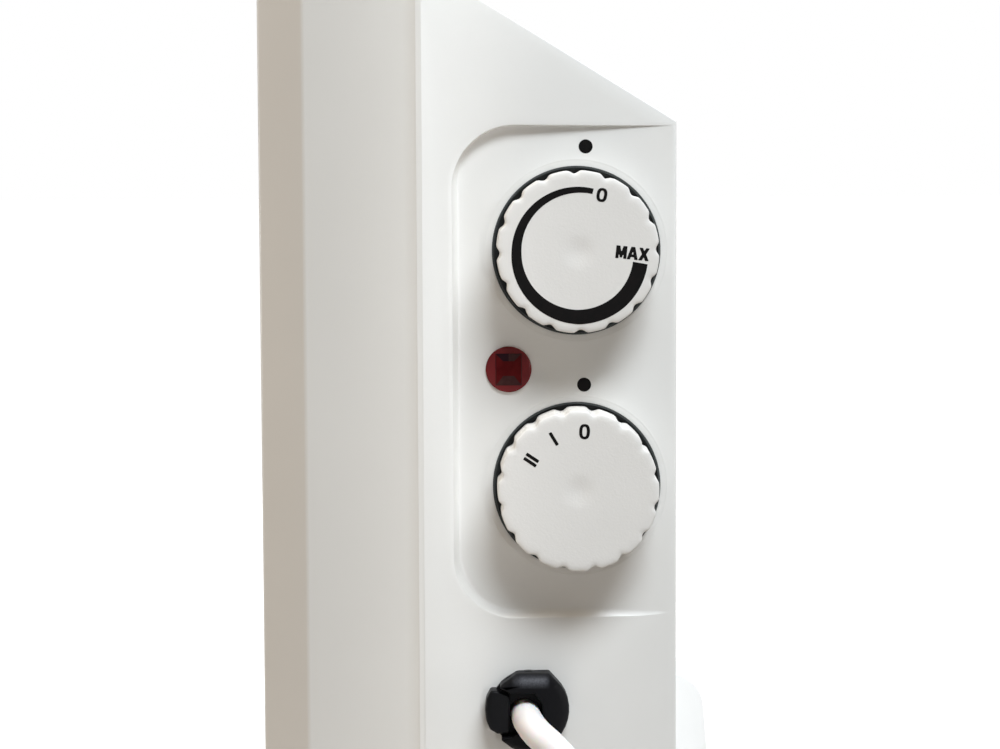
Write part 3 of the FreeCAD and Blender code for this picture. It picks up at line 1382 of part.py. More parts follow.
for make in (
    front_panel, top_grille, back_panel, bottom_grille, left_end_cap, right_end_cap,
    control_plate, controls, lamp, strain_relief, heating, terminal_block,
    rear_screws, feet, wiring, cord,
):
    make()
doc.recompute()

failed = [thing.Name for thing in doc.Objects if {"Invalid", "Error"} & set(thing.State)]
if failed:
    raise ValueError(f"objects that failed: {failed}")
for thing in sub_parts:
    if thing.Shape.isNull() or not thing.Shape.isValid():
        raise ValueError(f"{thing.Label} has no valid shape")

os.makedirs("parts", exist_ok=True)
for thing in sub_parts:
    thing.Shape.exportStep(f"parts/{thing.Label}.step")
    print(f"{thing.Label}: {len(thing.Shape.Solids)} solids, {thing.Shape.Volume / 1000:.2f} cm3")
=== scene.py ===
import json
import math

import bmesh
import bpy
from mathutils import Matrix, Vector


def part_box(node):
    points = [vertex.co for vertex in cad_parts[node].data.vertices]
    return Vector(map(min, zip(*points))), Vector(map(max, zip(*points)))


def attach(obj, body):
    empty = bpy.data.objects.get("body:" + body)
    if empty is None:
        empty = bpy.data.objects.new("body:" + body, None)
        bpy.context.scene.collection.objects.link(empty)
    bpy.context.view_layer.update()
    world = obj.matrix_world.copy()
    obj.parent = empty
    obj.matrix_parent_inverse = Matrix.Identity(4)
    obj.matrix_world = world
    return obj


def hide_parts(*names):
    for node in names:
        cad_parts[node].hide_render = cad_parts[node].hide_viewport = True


# Electric convector heater: close view of its control end. Metres and degrees, +Z up, controls at +X,
# front at -Y.

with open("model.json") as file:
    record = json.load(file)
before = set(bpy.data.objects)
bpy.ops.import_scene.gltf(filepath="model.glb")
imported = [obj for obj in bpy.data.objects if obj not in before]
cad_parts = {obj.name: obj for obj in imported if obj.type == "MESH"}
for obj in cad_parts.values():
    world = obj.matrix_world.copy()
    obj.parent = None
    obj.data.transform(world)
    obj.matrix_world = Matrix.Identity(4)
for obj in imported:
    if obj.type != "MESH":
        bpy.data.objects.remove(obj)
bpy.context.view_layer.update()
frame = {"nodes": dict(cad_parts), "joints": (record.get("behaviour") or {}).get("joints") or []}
nodes = frame["nodes"]

MM = 0.001
# Places closer than this are one
TOUCHING = 1e-6
TOUCHING_FINE = 1e-7
X_AXIS, Y_AXIS, Z_AXIS = Vector((1, 0, 0)), Vector((0, 1, 0)), Vector((0, 0, 1))

# Places read from the frame
cap_low, cap_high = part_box("right_end_cap")
REAR, BASE, TOP = cap_high.y, cap_low.z, cap_high.z
FACE = cap_high.x
KNOB = {joint["name"].split("_")[0]: Vector(joint["pos_m"]) for joint in frame["joints"]}
FLOOR = KNOB["thermostat"].x
KNOB_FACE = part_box("thermostat_knob")[1].x
lens_low, lens_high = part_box("neon_lens")
LENS_SHIFT = Vector((0, -0.1, 0.25)) * MM
LENS = Vector((FLOOR, (lens_low.y + lens_high.y) / 2, (lens_low.z + lens_high.z) / 2)) + LENS_SHIFT
GLAND_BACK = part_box("strain_relief_body")[0].x

# Sizes of the control end
CAP_WIDTH = 64.9 * MM
CAP_RUNOUT = 1.5 * MM
CAP_WALL = 2.2 * MM
CAP_BACK = cap_low.x
SLOPE_RISE = 40 * MM
SEAM = REAR - CAP_WIDTH
RECESS_END = REAR - CAP_RUNOUT
FALL = (FACE - FLOOR) / (CAP_WIDTH - CAP_RUNOUT)
KNOB_HOLE = 21.05 * MM
GLAND_CENTRE = Vector((FACE, 13.4 * MM, 193 * MM))
GLAND_HOLE = 7.55 * MM
LENS_HOLE = 4.95 * MM


# Meshes

FLAT_WITHIN = 0.3


def mesh_piece(name, bm, material, body="heater", crease=35):
    """A finished piece: smooth faces, with edges sharper than the crease left sharp."""
    mesh = bpy.data.meshes.new(name)
    bm.edges.index_update()
    rims = [edge.index for edge in bm.edges if edge.is_boundary]
    bm.to_mesh(mesh)
    bm.free()
    mesh.polygons.foreach_set("use_smooth", [True] * len(mesh.polygons))
    mesh.set_sharp_from_angle(angle=math.radians(crease))
    for index in rims:
        mesh.edges[index].use_edge_sharp = True
    mesh.materials.append(material)
    piece = bpy.data.objects.new(name, mesh)
    bpy.context.scene.collection.objects.link(piece)
    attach(piece, body)
    return piece


def joined(node):
    """A node's own shape, with its triangles joined and its flat faces whole."""
    bm = bmesh.new()
    bm.from_mesh(nodes[node].data)
    bmesh.ops.remove_doubles(bm, verts=bm.verts, dist=TOUCHING)
    bmesh.ops.dissolve_limit(bm, angle_limit=math.radians(FLAT_WITHIN), verts=bm.verts, edges=bm.edges)
    return bm


def round_edges(bm, radius, chosen, segments=4):
    """Rounds the edges that a test picks."""
    edges = [edge for edge in bm.edges if edge.is_manifold and chosen(edge)]
    bmesh.ops.bevel(bm, geom=edges, offset=radius, offset_type="OFFSET", affect="EDGES",
                    segments=segments, profile=0.5, material=-1, clamp_overlap=True)


def sharper_than(degrees):
    """A test for outward edges sharper than an angle."""
    return lambda edge: edge.calc_face_angle_signed() > math.radians(degrees)


def rounded(points, steps):
    """A profile whose corners with a third value are rounded by that radius."""
    made = []
    for i, point in enumerate(points):
        here = Vector(point[:2])
        if len(point) == 2:
            made.append(here)
            continue
        before = (Vector(points[i - 1][:2]) - here).normalized()
        after = (Vector(points[(i + 1) % len(points)][:2]) - here).normalized()
        half = before.angle(after) / 2
        start = here + before * (point[2] / math.tan(half))
        end = here + after * (point[2] / math.tan(half))
        centre = here + (before + after).normalized() * (point[2] / math.sin(half))
        turn = (start - centre).angle_signed(end - centre)
        for k in range(steps + 1):
            made.append(centre + Matrix.Rotation(-turn * k / steps, 2) @ (start - centre))
    return made


def close_up(bm):
    """Joins places that touch and turns the faces outwards."""
    bmesh.ops.remove_doubles(bm, verts=bm.verts, dist=TOUCHING_FINE)
    bmesh.ops.recalc_face_normals(bm, faces=bm.faces)


def spun(profile, centre, steps):
    """A round shape about X from a profile of (place along X, radius)."""
    bm = bmesh.new()
    side = X_AXIS.orthogonal().normalized()
    verts = [bm.verts.new(centre + X_AXIS * along + side * radius) for along, radius in profile]
    edges = [bm.edges.new(pair) for pair in zip(verts, verts[1:])]
    bmesh.ops.spin(bm, geom=verts + edges, cent=centre, axis=X_AXIS, angle=2 * math.pi, steps=steps,
                   use_merge=True)
    close_up(bm)
    return bm


def line_of(bm, places, closed=False):
    """Edges through a row of places."""
    verts = [bm.verts.new(place) for place in places]
    pairs = list(zip(verts, verts[1:]))
    if closed:
        pairs.append((verts[-1], verts[0]))
    return [bm.edges.new(pair) for pair in pairs]


def band(bm, rows, closed=False):
    """A strip through rows of places. Returns its first and last lines of edges."""
    first = line = line_of(bm, rows[0], closed)
    for near, far in zip(rows, rows[1:]):
        grown = bmesh.ops.extrude_edge_only(bm, edges=line)["geom"]
        fresh = {g for g in grown if isinstance(g, bmesh.types.BMVert)}
        line = [g for g in grown if isinstance(g, bmesh.types.BMEdge) and fresh.issuperset(g.verts)]
        moves = {tuple(old): new for old, new in zip(near, far)}
        for vert in fresh:
            vert.co = moves[tuple(vert.co)]
    return first, line


def fill(bm, edges, merge_flat=False):
    """Fills the area between closed lines."""
    bmesh.ops.triangle_fill(bm, use_beauty=True, use_dissolve=merge_flat, edges=edges)


def cut_across(bm, places):
    """Cuts through a shape at places along Y."""
    for y in places:
        whole = list(bm.verts) + list(bm.edges) + list(bm.faces)
        bmesh.ops.bisect_plane(bm, geom=whole, plane_co=Vector((0, y, 0)), plane_no=Y_AXIS, dist=TOUCHING)


def ring(centre, radius, x, count=128):
    """Places round a circle that faces along X."""
    return [
        Vector((x, centre.y + radius * math.sin(turn), centre.z + radius * math.cos(turn)))
        for turn in (2 * math.pi * k / count for k in range(count))
    ]


# Finishes

class Finish:
    """A shader with nodes on the piece's own coordinates."""

    def __init__(self, name):
        self.material = bpy.data.materials.new(name)
        self.material.use_nodes = True
        self.tree = self.material.node_tree
        self.shader = self.tree.nodes["Principled BSDF"]
        self.place = self.tree.nodes.new("ShaderNodeTexCoord").outputs["Object"]

    def node(self, kind, **values):
        made = self.tree.nodes.new(kind)
        for key, value in values.items():
            setattr(made, key, value)
        return made

    def link(self, start, end):
        self.tree.links.new(start, end)

    def set(self, **values):
        for key, value in values.items():
            self.shader.inputs[key.replace("_", " ")].default_value = value

    def noise(self, size, detail, stretch=(1, 1, 1)):
        """Noise whose blotches are about a given size."""
        spread = self.node("ShaderNodeMapping")
        spread.inputs["Scale"].default_value = stretch
        noise = self.node("ShaderNodeTexNoise")
        noise.inputs["Scale"].default_value = 1 / size
        noise.inputs["Detail"].default_value = detail
        self.link(self.place, spread.inputs["Vector"])
        self.link(spread.outputs["Vector"], noise.inputs["Vector"])
        return noise.outputs["Fac"]

    def span(self, value, low, high, start=0.3, end=0.7):
        """A value spread over a range."""
        spread = self.node("ShaderNodeMapRange")
        for name, number in zip(("From Min", "From Max", "To Min", "To Max"), (start, end, low, high)):
            spread.inputs[name].default_value = number
        self.link(value, spread.inputs["Value"])
        return spread.outputs["Result"]

    def product(self, first, second):
        """Two values multiplied."""
        times = self.node("ShaderNodeMath", operation="MULTIPLY")
        self.link(first, times.inputs[0])
        self.link(second, times.inputs[1])
        return times.outputs[0]

    def mix(self, share, first, second):
        """A colour between two colours."""
        mixed = self.node("ShaderNodeMix", data_type="RGBA")
        self.link(share, mixed.inputs["Factor"])
        for socket, colour in (("A", first), ("B", second)):
            slot = next(s for s in mixed.inputs if s.name == socket and s.type == "RGBA")
            if hasattr(colour, "is_output"):
                self.link(colour, slot)
            else:
                slot.default_value = (*colour, 1)
        return next(s for s in mixed.outputs if s.type == "RGBA")

    def colour(self, value):
        self.link(value, self.shader.inputs["Base Color"])

    def roughness(self, value):
        self.link(value, self.shader.inputs["Roughness"])

    def bump(self, height, depth):
        """Raises the surface by a height, on top of any bump that is there."""
        made = self.node("ShaderNodeBump")
        made.inputs["Distance"].default_value = depth
        made.inputs["Strength"].default_value = 1.0
        self.link(height, made.inputs["Height"])
        normal = self.shader.inputs["Normal"]
        if normal.is_linked:
            self.link(normal.links[0].from_socket, made.inputs["Normal"])
        self.link(made.outputs["Normal"], normal)


LIGHT_REACH = 3 * MM
SHEEN_SHARE = 3
GRAIN_SHARE = 8
# Speckle size of the hood's painted highlight, and size and depth of the hood's sheen and grain
HIGHLIGHT_SPECK, HOOD_SHEEN, HOOD_GRAIN, HOOD_GRAIN_DEPTH = 0.5 * MM, 2 * MM, 0.6 * MM, 0.02 * MM
PAINT_CLOUD, PAINT_SHEEN = 60 * MM, 9 * MM
PAINT_PEEL, PEEL_DEPTH = 1.6 * MM, 0.012 * MM
PAINT_WAVE, WAVE_DEPTH = 25 * MM, 0.05 * MM
METAL_DEPTH = 0.008 * MM


def moulding(name, light, dark, rough=(0.42, 0.52), patch=35, grain=0.5, depth=0.012, through=0.0, gloss=0.5):
    """Moulded plastic: faint cloudy colour, and a fine grain. Patch, grain and depth are in millimetres."""
    made = Finish(name)
    made.colour(made.mix(made.span(made.noise(patch * MM, detail=3), 0, 1), light, dark))
    made.roughness(made.span(made.noise(patch / SHEEN_SHARE * MM, detail=4), *rough))
    made.bump(made.noise(grain * MM, detail=3), depth * MM)
    made.set(Subsurface_Weight=through, Subsurface_Scale=LIGHT_REACH, Specular_IOR_Level=gloss)
    return made.material


def painted_highlight_moulding(name, base, highlight, highlight_y, highlight_z):
    """Black plastic with a painted highlight: a paler patch between four places in millimetres along Y and
    along Z.
    """
    made = Finish(name)
    axes = made.node("ShaderNodeSeparateXYZ")
    made.link(made.place, axes.inputs[0])
    share = made.span(made.noise(HIGHLIGHT_SPECK, detail=3), 0.6, 1)
    for axis, (start, full, end, gone) in (("Y", highlight_y), ("Z", highlight_z)):
        for edge in (
            made.span(axes.outputs[axis], 0, 1, start * MM, full * MM),
            made.span(axes.outputs[axis], 1, 0, end * MM, gone * MM),
        ):
            share = made.product(share, edge)
    # Painted highlight: the paler colour is mixed in over the patch
    made.colour(made.mix(share, base, highlight))
    made.roughness(made.span(made.noise(HOOD_SHEEN, detail=4), 0.3, 0.42))
    made.bump(made.noise(HOOD_GRAIN, detail=3), HOOD_GRAIN_DEPTH)
    made.set(Specular_IOR_Level=0.05)
    return made.material


def paint(name, light, dark, rough=(0.3, 0.4)):
    """Paint on sheet steel: a soft orange-peel surface and faint cloudy colour."""
    made = Finish(name)
    made.colour(made.mix(made.span(made.noise(PAINT_CLOUD, detail=3), 0, 1), light, dark))
    made.roughness(made.span(made.noise(PAINT_SHEEN, detail=3), *rough))
    made.bump(made.noise(PAINT_PEEL, detail=2), PEEL_DEPTH)
    made.bump(made.noise(PAINT_WAVE, detail=1), WAVE_DEPTH)
    return made.material


def metal(name, light, dark, rough=(0.25, 0.45), grain=(1, 1, 1), patch=8):
    """Bare or plated metal. Grain draws its pattern out along an axis."""
    made = Finish(name)
    made.colour(made.mix(made.span(made.noise(patch * MM, 4, grain), 0, 1), light, dark))
    made.roughness(made.span(made.noise(patch / SHEEN_SHARE * MM, 4, grain), *rough))
    made.bump(made.noise(patch / GRAIN_SHARE * MM, 3, grain), METAL_DEPTH)
    made.set(Metallic=1.0)
    return made.material


CAP = moulding("cap_white", (0.79, 0.785, 0.765), (0.765, 0.76, 0.74), rough=(0.3, 0.36), grain=0.7,
               depth=0.008)
KNOB_WHITE = moulding("knob_white", (0.78, 0.765, 0.74), (0.75, 0.735, 0.71), rough=(0.45, 0.6), grain=0.55,
                      depth=0.045)
PANEL = paint("panel_paint", (0.70, 0.68, 0.645), (0.67, 0.65, 0.615))
GRILLE = paint("grille_paint", (0.70, 0.69, 0.66), (0.67, 0.66, 0.63))
FOOT = moulding("foot_white", (0.94, 0.94, 0.935), (0.92, 0.92, 0.915))
LEAD = moulding("lead_white", (0.84, 0.825, 0.82), (0.8, 0.78, 0.775), rough=(0.35, 0.5), patch=12, grain=1.5,
                depth=0.02, through=0.4)
PRINT = moulding("print_black", (0.003, 0.003, 0.003), (0.006, 0.005, 0.005), rough=(0.5, 0.6), patch=2,
                 gloss=0.06)
BEZEL = moulding("bezel_grey", (0.045, 0.05, 0.05), (0.035, 0.04, 0.04), rough=(0.45, 0.55), patch=8,
                 gloss=0.3)
NYLON = moulding("bushing_black", (0.003, 0.003, 0.0035), (0.005, 0.005, 0.006), rough=(0.28, 0.4), patch=5,
                 grain=0.6, depth=0.02, gloss=0.07)
# The hood's upper front rounding carries a painted highlight: a paler patch between these places
HOOD_NYLON = painted_highlight_moulding("hood_black_painted_highlight", (0.005, 0.005, 0.006), (0.09, 0.093, 0.105),
                           highlight_y=(9.0, 12.0, 17.4, 18.8), highlight_z=(198.9, 200.6, 200.9, 202.4))
LENS_RED = moulding("lens_red", (0.2, 0.02, 0.022), (0.14, 0.013, 0.015), rough=(0.08, 0.14), patch=6,
                    grain=3, depth=0.004, gloss=0.08)
FACET = {"rough": (0.1, 0.2), "patch": 3, "grain": 2, "depth": 0.02}
# The window's colours are painted: its dark red is the lens's red with the unlit lamp behind painted in
# (painted shade), and its outer facets carry painted reflections, one dim and one pale
LENS_INSIDE_SHADE = moulding("lens_inside_shade", (0.075, 0.003, 0.004), (0.11, 0.007, 0.008), gloss=0.03, **FACET)
LENS_DIM_REFLECTION = moulding("lens_dim_reflection", (0.018, 0.003, 0.007), (0.028, 0.005, 0.011), gloss=0.04, **FACET)
LENS_PALE_REFLECTION = moulding("lens_pale_reflection", (0.04, 0.012, 0.012), (0.065, 0.026, 0.025), gloss=0.05, **FACET)
STEEL = metal("plated_steel", (0.62, 0.61, 0.57), (0.5, 0.49, 0.46))
FINS = metal("element_aluminium", (0.76, 0.76, 0.77), (0.66, 0.66, 0.67), grain=(0.05, 1, 1))
NICKEL = metal("pin_nickel", (0.72, 0.70, 0.67), (0.64, 0.62, 0.59), rough=(0.15, 0.25))
SWITCH = moulding("switch_dark", (0.09, 0.09, 0.09), (0.06, 0.06, 0.06))
BLOCK = moulding("block_pale", (0.8, 0.79, 0.75), (0.74, 0.73, 0.69))
CERAMIC = moulding("bush_ceramic", (0.84, 0.82, 0.76), (0.78, 0.76, 0.7), rough=(0.55, 0.7))
WIRE = moulding("wire_brown", (0.35, 0.14, 0.06), (0.28, 0.11, 0.05), patch=6)
RUBBER = moulding("pad_rubber", (0.02, 0.02, 0.02), (0.03, 0.03, 0.03), rough=(0.7, 0.85), patch=4, grain=0.8,
                  depth=0.03)
STRAP = moulding("tie_grey", (0.55, 0.55, 0.54), (0.5, 0.5, 0.49), patch=6)
GLASS = moulding("lamp_amber", (0.5, 0.25, 0.15), (0.4, 0.2, 0.12), rough=(0.1, 0.2), patch=4)


# End cap with the control recess

RECESS_TOP = 339.28 * MM
RECESS_TOP_FALL = 0.35 * MM
RECESS_BOTTOM = 215.85 * MM
RECESS_TIP_RISE = 0.9 * MM
RECESS_TAPER = 9.5 * MM
RECESS_LEFT = -5.1 * MM
RECESS_CORNER = 15.6 * MM
WALL_WIDTH = 1.85 * MM
WALL_TAPER = 19 * MM
WALL_TAPER_POWER = 0.45
WALL_LEAN = 0.8
WALL_LEAST = 0.15
WALL_STEPS = (0.06, 0.16, 0.3, 0.45, 0.6, 0.75, 0.88, 1.0)
WALL_CURVE = 1.5
WALL_FOOT = 1.2
SHOULDER = 1.9 * MM
SHOULDER_SIDE = 0.6
SHOULDER_TURN = 0.4
SHOULDER_DROP = 0.06
# Shares of the shoulder's width outside the wall, and of the recess's depth there
SHOULDER_ROWS = [(1, 0), (0.7, 0.008), (0.4, 0.026), (0.15, 0.043), (0, SHOULDER_DROP)]
RIM_STEPS = 6
SLOPE_ROUND = 0.4 * MM
REAR_ROUND = 0.25 * MM
REAR_IN = 0.15 * MM
EDGE_DEPTH = 0.9 * MM
SEAM_BEVEL = 1.5 * MM
SEAM_DEPTH = 0.4 * MM
COLLAR_FOOT = 22.4 * MM
COLLAR_DIP = 0.1 * MM
COLLAR_WIDTH = 0.9 * MM
COLLAR_CREST = 0.3 * MM
COLLAR_RISE = 0.05 * MM
COLLAR_CREST_ROUND = 0.25 * MM
COLLAR_FOOT_ROUND = 0.15 * MM


def face_x(y):
    """Where the cap's outer face lies. It falls away towards the rear."""
    return FACE - FALL * (y - SEAM)


def recess_path(corner_steps=20, line_steps=12):
    """The recess's outer edge as (place, inward way): along its top, round its front, back along its base."""
    path = []
    front = RECESS_LEFT + RECESS_CORNER
    for k in range(line_steps):
        y = RECESS_END + (front - RECESS_END) * k / line_steps
        z = RECESS_TOP - RECESS_TOP_FALL * (1 - k / line_steps)
        path.append((Vector((y, z)), Vector((0, -1))))
    for centre_z, first in ((RECESS_TOP - RECESS_CORNER, 90), (RECESS_BOTTOM + RECESS_CORNER, 180)):
        for k in range(corner_steps + 1):
            turn = math.radians(first + 90 * k / corner_steps)
            out = Vector((math.cos(turn), math.sin(turn)))
            path.append((Vector((front, centre_z)) + out * RECESS_CORNER, -out))
    for k in range(1, line_steps + 1):
        y = front + (RECESS_END - front) * k / line_steps
        near_tip = max(0.0, 1 - (RECESS_END - y) / RECESS_TAPER)
        path.append((Vector((y, RECESS_BOTTOM + RECESS_TIP_RISE * near_tip ** 2)), Vector((0, 1))))
    return path


def wall_rows():
    """Rows across the recess wall as shares: of the shoulder outside it, of its width and of the depth."""
    rows = [(outside, 0, drop) for outside, drop in SHOULDER_ROWS]
    for across in WALL_STEPS:
        curve = 1 - (1 - across) ** WALL_CURVE
        rows.append((0, across, SHOULDER_DROP + (1 - SHOULDER_DROP) * curve))
    return rows + [(0, WALL_FOOT, 1)]


def rim_row(share):
    """The cap's outline on its way round its edge, from 0 on the face to 1 on the side walls."""
    inward = 1 - math.sin(share * math.pi / 2)
    depth = EDGE_DEPTH * (1 - math.cos(share * math.pi / 2))
    seam = SEAM + SEAM_BEVEL * (1 - share)
    low, rear = BASE + SLOPE_ROUND * inward, REAR - REAR_IN - REAR_ROUND * inward
    steep = SLOPE_RISE / CAP_WIDTH
    lift = SLOPE_ROUND * inward * math.hypot(1, steep)
    corners = [
        (seam, low, SEAM_DEPTH * share),
        (rear, low, depth),
        (rear, TOP - steep * (rear - SEAM) - lift, depth),
        (seam, TOP - steep * (seam - SEAM) - lift, SEAM_DEPTH * share),
    ]
    return [Vector((face_x(y) - sink, y, z)) for y, z, sink in corners]


def recess_rows():
    """Rows of places from the recess's soft shoulder, down its wall, to its floor."""
    deepest = face_x(RECESS_LEFT) - FLOOR
    rows = []
    for outside, across, share_down in wall_rows():
        row = []
        for edge, inward in recess_path():
            depth = max(0.0, face_x(edge.x) - FLOOR) / deepest
            shoulder = SHOULDER * math.sqrt(depth) * (SHOULDER_SIDE - SHOULDER_TURN * inward.y)
            wall = WALL_WIDTH * min(1.0, max(0.0, RECESS_END - edge.x) / WALL_TAPER) ** WALL_TAPER_POWER
            wall *= min(1.0, max(WALL_LEAST, WALL_LEAN + WALL_LEAN * inward.y))
            y, z = edge + inward * (across * wall - outside * shoulder)
            sink = max(face_x(y) - FLOOR, 0) * share_down
            row.append(Vector((face_x(y) - sink, y, z)))
        rows.append(row)
    return rows


def knob_collars(bm):
    """Low collars round the holes for the knobs. Returns their outer lines."""
    profile = rounded([
        (COLLAR_FOOT + COLLAR_WIDTH, 0),
        (COLLAR_FOOT + COLLAR_CREST, COLLAR_RISE, COLLAR_CREST_ROUND),
        (COLLAR_FOOT, 0, COLLAR_FOOT_ROUND),
        (KNOB_HOLE, -COLLAR_DIP),
    ], steps=4)
    lines = []
    for centre in KNOB.values():
        first, _ = band(bm, [ring(centre, radius, FLOOR + height) for radius, height in profile], closed=True)
        lines += first
    return lines


def right_cap():
    """The end cap's outer skin, with the recess, its collars and the holes. A modifier gives it its wall."""
    bm = bmesh.new()
    edge_rows = [rim_row(k / RIM_STEPS) for k in range(RIM_STEPS + 1)]
    rim, _ = band(bm, edge_rows, closed=True)
    band(bm, [edge_rows[-1], [Vector((CAP_BACK, place.y, place.z)) for place in edge_rows[-1]]])
    rows = recess_rows()
    band(bm, rows)
    bmesh.ops.remove_doubles(bm, verts=bm.verts, dist=TOUCHING)
    tips = [
        v for v in bm.verts
        if abs(v.co.y - RECESS_END) < TOUCHING and RECESS_BOTTOM - MM < v.co.z < RECESS_TOP + MM
    ]
    runout = bm.edges.new(tips)

    def line_through(row):
        spots = {tuple(place) for place in row[1:-1]}
        line = []
        for edge in bm.edges:
            on_row = [tuple(v.co) in spots for v in edge.verts]
            if any(on_row) and all(on or v in tips for on, v in zip(on_row, edge.verts)):
                line.append(edge)
        return line

    outer, inner = line_through(rows[0]), line_through(rows[-1])
    seat_places = [Vector((face_x(p.y), p.y, p.z)) for p in ring(GLAND_CENTRE, GLAND_HOLE, 0, count=64)]
    seat = line_of(bm, seat_places, closed=True)
    fill(bm, rim + outer + [runout] + seat)
    holes = knob_collars(bm) + line_of(bm, ring(LENS, LENS_HOLE, FLOOR, count=48), closed=True)
    fill(bm, inner + [runout] + holes)
    close_up(bm)
    piece = mesh_piece("end_cap_controls", bm, CAP)
    wall = piece.modifiers.new("wall", "SOLIDIFY")
    wall.thickness = CAP_WALL
    wall.offset = -1
    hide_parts("right_end_cap")


# Knobs and the dark rings behind them

KNOB_RADIUS = 20.05 * MM
KNOB_RIM = 19.9 * MM
KNOB_SINK = 1.2 * MM
KNOB_EDGE = 2.0 * MM
KNOB_EDGE_DEPTH = 0.45 * MM
KNOB_FACE_RINGS = (9 * MM, 14 * MM, 16.6 * MM, 17.3 * MM)
KNOB_STEPS = 8
KNOB_FOOT = 18 * MM
KNOB_FOOT_ROUND = 0.3 * MM
KNOB_INSIDE = 17.6 * MM
KNOB_THICK = 2 * MM
LONG_SIDE = 8 * MM
SIDE_CUTS = 6
SCALLOPS = 16
SCALLOP_STEPS = 16
SCALLOP_DEPTH = 0.85 * MM
SCALLOP_WIDTH = 5.6
SCALLOP_POWER = 1.15
SCALLOP_START = 16.6 * MM
SCALLOP_FULL = 18.4 * MM
DIMPLE_RADIUS = 5.0 * MM
DIMPLE_DEPTH = 0.3 * MM
VALLEY = {"thermostat": -1.7, "selector": 11.25}
RING_BORE = 12 * MM
RING_PLAY = 0.06 * MM
RING_LIP = 0.5 * MM
RING_RISE = 0.2 * MM


def scallop(turn, first):
    """How deep a point of the rim lies in a valley, from 0 to 1, for an angle in degrees from the top."""
    pitch = 360 / SCALLOPS
    off = abs((turn - first + pitch / 2) % pitch - pitch / 2)
    if off < SCALLOP_WIDTH:
        return 0.5 + 0.5 * math.cos(math.pi * (off / SCALLOP_WIDTH) ** SCALLOP_POWER)
    return 0.0


def knob_profile():
    """Half of a knob's section as (height, radius): its face, edge and side, its foot and its hollow back."""
    rise = KNOB_FACE - FLOOR
    profile = []
    for k in range(KNOB_STEPS + 1):
        sunk = DIMPLE_DEPTH * (0.5 + 0.5 * math.cos(math.pi * k / KNOB_STEPS))
        profile.append((rise - sunk, DIMPLE_RADIUS * k / KNOB_STEPS))
    profile += [(rise, radius) for radius in KNOB_FACE_RINGS]
    for k in range(1, KNOB_STEPS + 1):
        turn = math.pi / 2 * k / KNOB_STEPS
        height = rise - KNOB_EDGE_DEPTH * (1 - math.cos(turn))
        profile.append((height, KNOB_RIM - KNOB_EDGE * (1 - math.sin(turn))))
    profile += rounded([
        (0, KNOB_RIM), (-KNOB_SINK, KNOB_RADIUS, KNOB_FOOT_ROUND), (-KNOB_SINK, KNOB_FOOT),
    ], steps=4)[1:]
    profile += [(rise - KNOB_THICK, KNOB_INSIDE), (rise - KNOB_THICK, 0)]
    fine = []
    for near, far in zip(profile, profile[1:]):
        cuts = SIDE_CUTS if abs(near[0] - far[0]) > LONG_SIDE else 1
        fine += [Vector(near).lerp(Vector(far), k / cuts) for k in range(cuts)]
    return fine + [profile[-1]]


def knob(name):
    """A knob with a shallow dimple and a scalloped rim, hollow at the back."""
    centre = KNOB[name]
    bm = spun(knob_profile(), centre, steps=SCALLOPS * SCALLOP_STEPS)
    for vert in bm.verts:
        y, z = vert.co.y - centre.y, vert.co.z - centre.z
        radius = math.hypot(y, z)
        strength = max(0.0, min(1.0, (radius - SCALLOP_START) / (SCALLOP_FULL - SCALLOP_START)))
        if strength > 0:
            depth = SCALLOP_DEPTH * scallop(math.degrees(math.atan2(y, z)), VALLEY[name]) * strength
            vert.co.y -= y / radius * depth
            vert.co.z -= z / radius * depth
    piece = mesh_piece(f"{name}_grip", bm, KNOB_WHITE, f"{name}_control", crease=50)
    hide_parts(f"{name}_knob")


def knob_ring(name):
    """The dark ring behind the end cap, with a thin lip that lines the knob's hole."""
    low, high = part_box(f"{name}_bezel")
    outer = (high.y - low.y) / 2
    lip = KNOB_HOLE - RING_PLAY
    bore = KNOB_HOLE - RING_LIP
    back, front = low.x - FLOOR, high.x - FLOOR
    profile = [
        (back, RING_BORE), (front, RING_BORE), (front, bore), (RING_RISE, bore), (RING_RISE, lip),
        (front, lip), (front, outer), (back, outer), (back, RING_BORE),
    ]
    piece = mesh_piece(f"{name}_ring", spun(profile, KNOB[name], steps=128), BEZEL)
    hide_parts(f"{name}_bezel")


# Printed marks

PRINT_HEIGHT = 0.04 * MM
ZERO_SIDE = 0.78 * MM
ZERO_END = 0.64 * MM
ZERO_FULLNESS = 2.5
ZERO_POINTS = 64
BAR_LENGTH = 3.6 * MM
BAR_WIDTH = 0.8 * MM
BAR_ROUND = 0.2
DOT_RADIUS = 1.75 * MM


def on_knob(name, across, up):
    """A place on a knob's face, measured from its centre."""
    return Vector((KNOB_FACE, KNOB[name].y + across, KNOB[name].z + up))


def printed(bm, piece_name, body):
    """Gives a flat shape on the YZ plane its thin layer of print."""
    grown = bmesh.ops.extrude_face_region(bm, geom=list(bm.faces), use_keep_orig=True)["geom"]
    raised = [g for g in grown if isinstance(g, bmesh.types.BMVert)]
    bmesh.ops.translate(bm, verts=raised, vec=X_AXIS * PRINT_HEIGHT)
    bmesh.ops.recalc_face_normals(bm, faces=bm.faces)
    piece = mesh_piece(piece_name, bm, PRINT, body)


def flat_on_knob(bm, knob_name, place, turn):
    """Lays a flat shape, drawn upright, on a knob's face and turns it clockwise."""
    upright = Matrix(((0, 0, 1, 0), (1, 0, 0, 0), (0, 1, 0, 0), (0, 0, 0, 1)))
    lie = Matrix.Rotation(math.radians(-turn), 4, "X") @ upright
    bmesh.ops.transform(bm, matrix=Matrix.Translation(on_knob(knob_name, *place)) @ lie, verts=bm.verts)


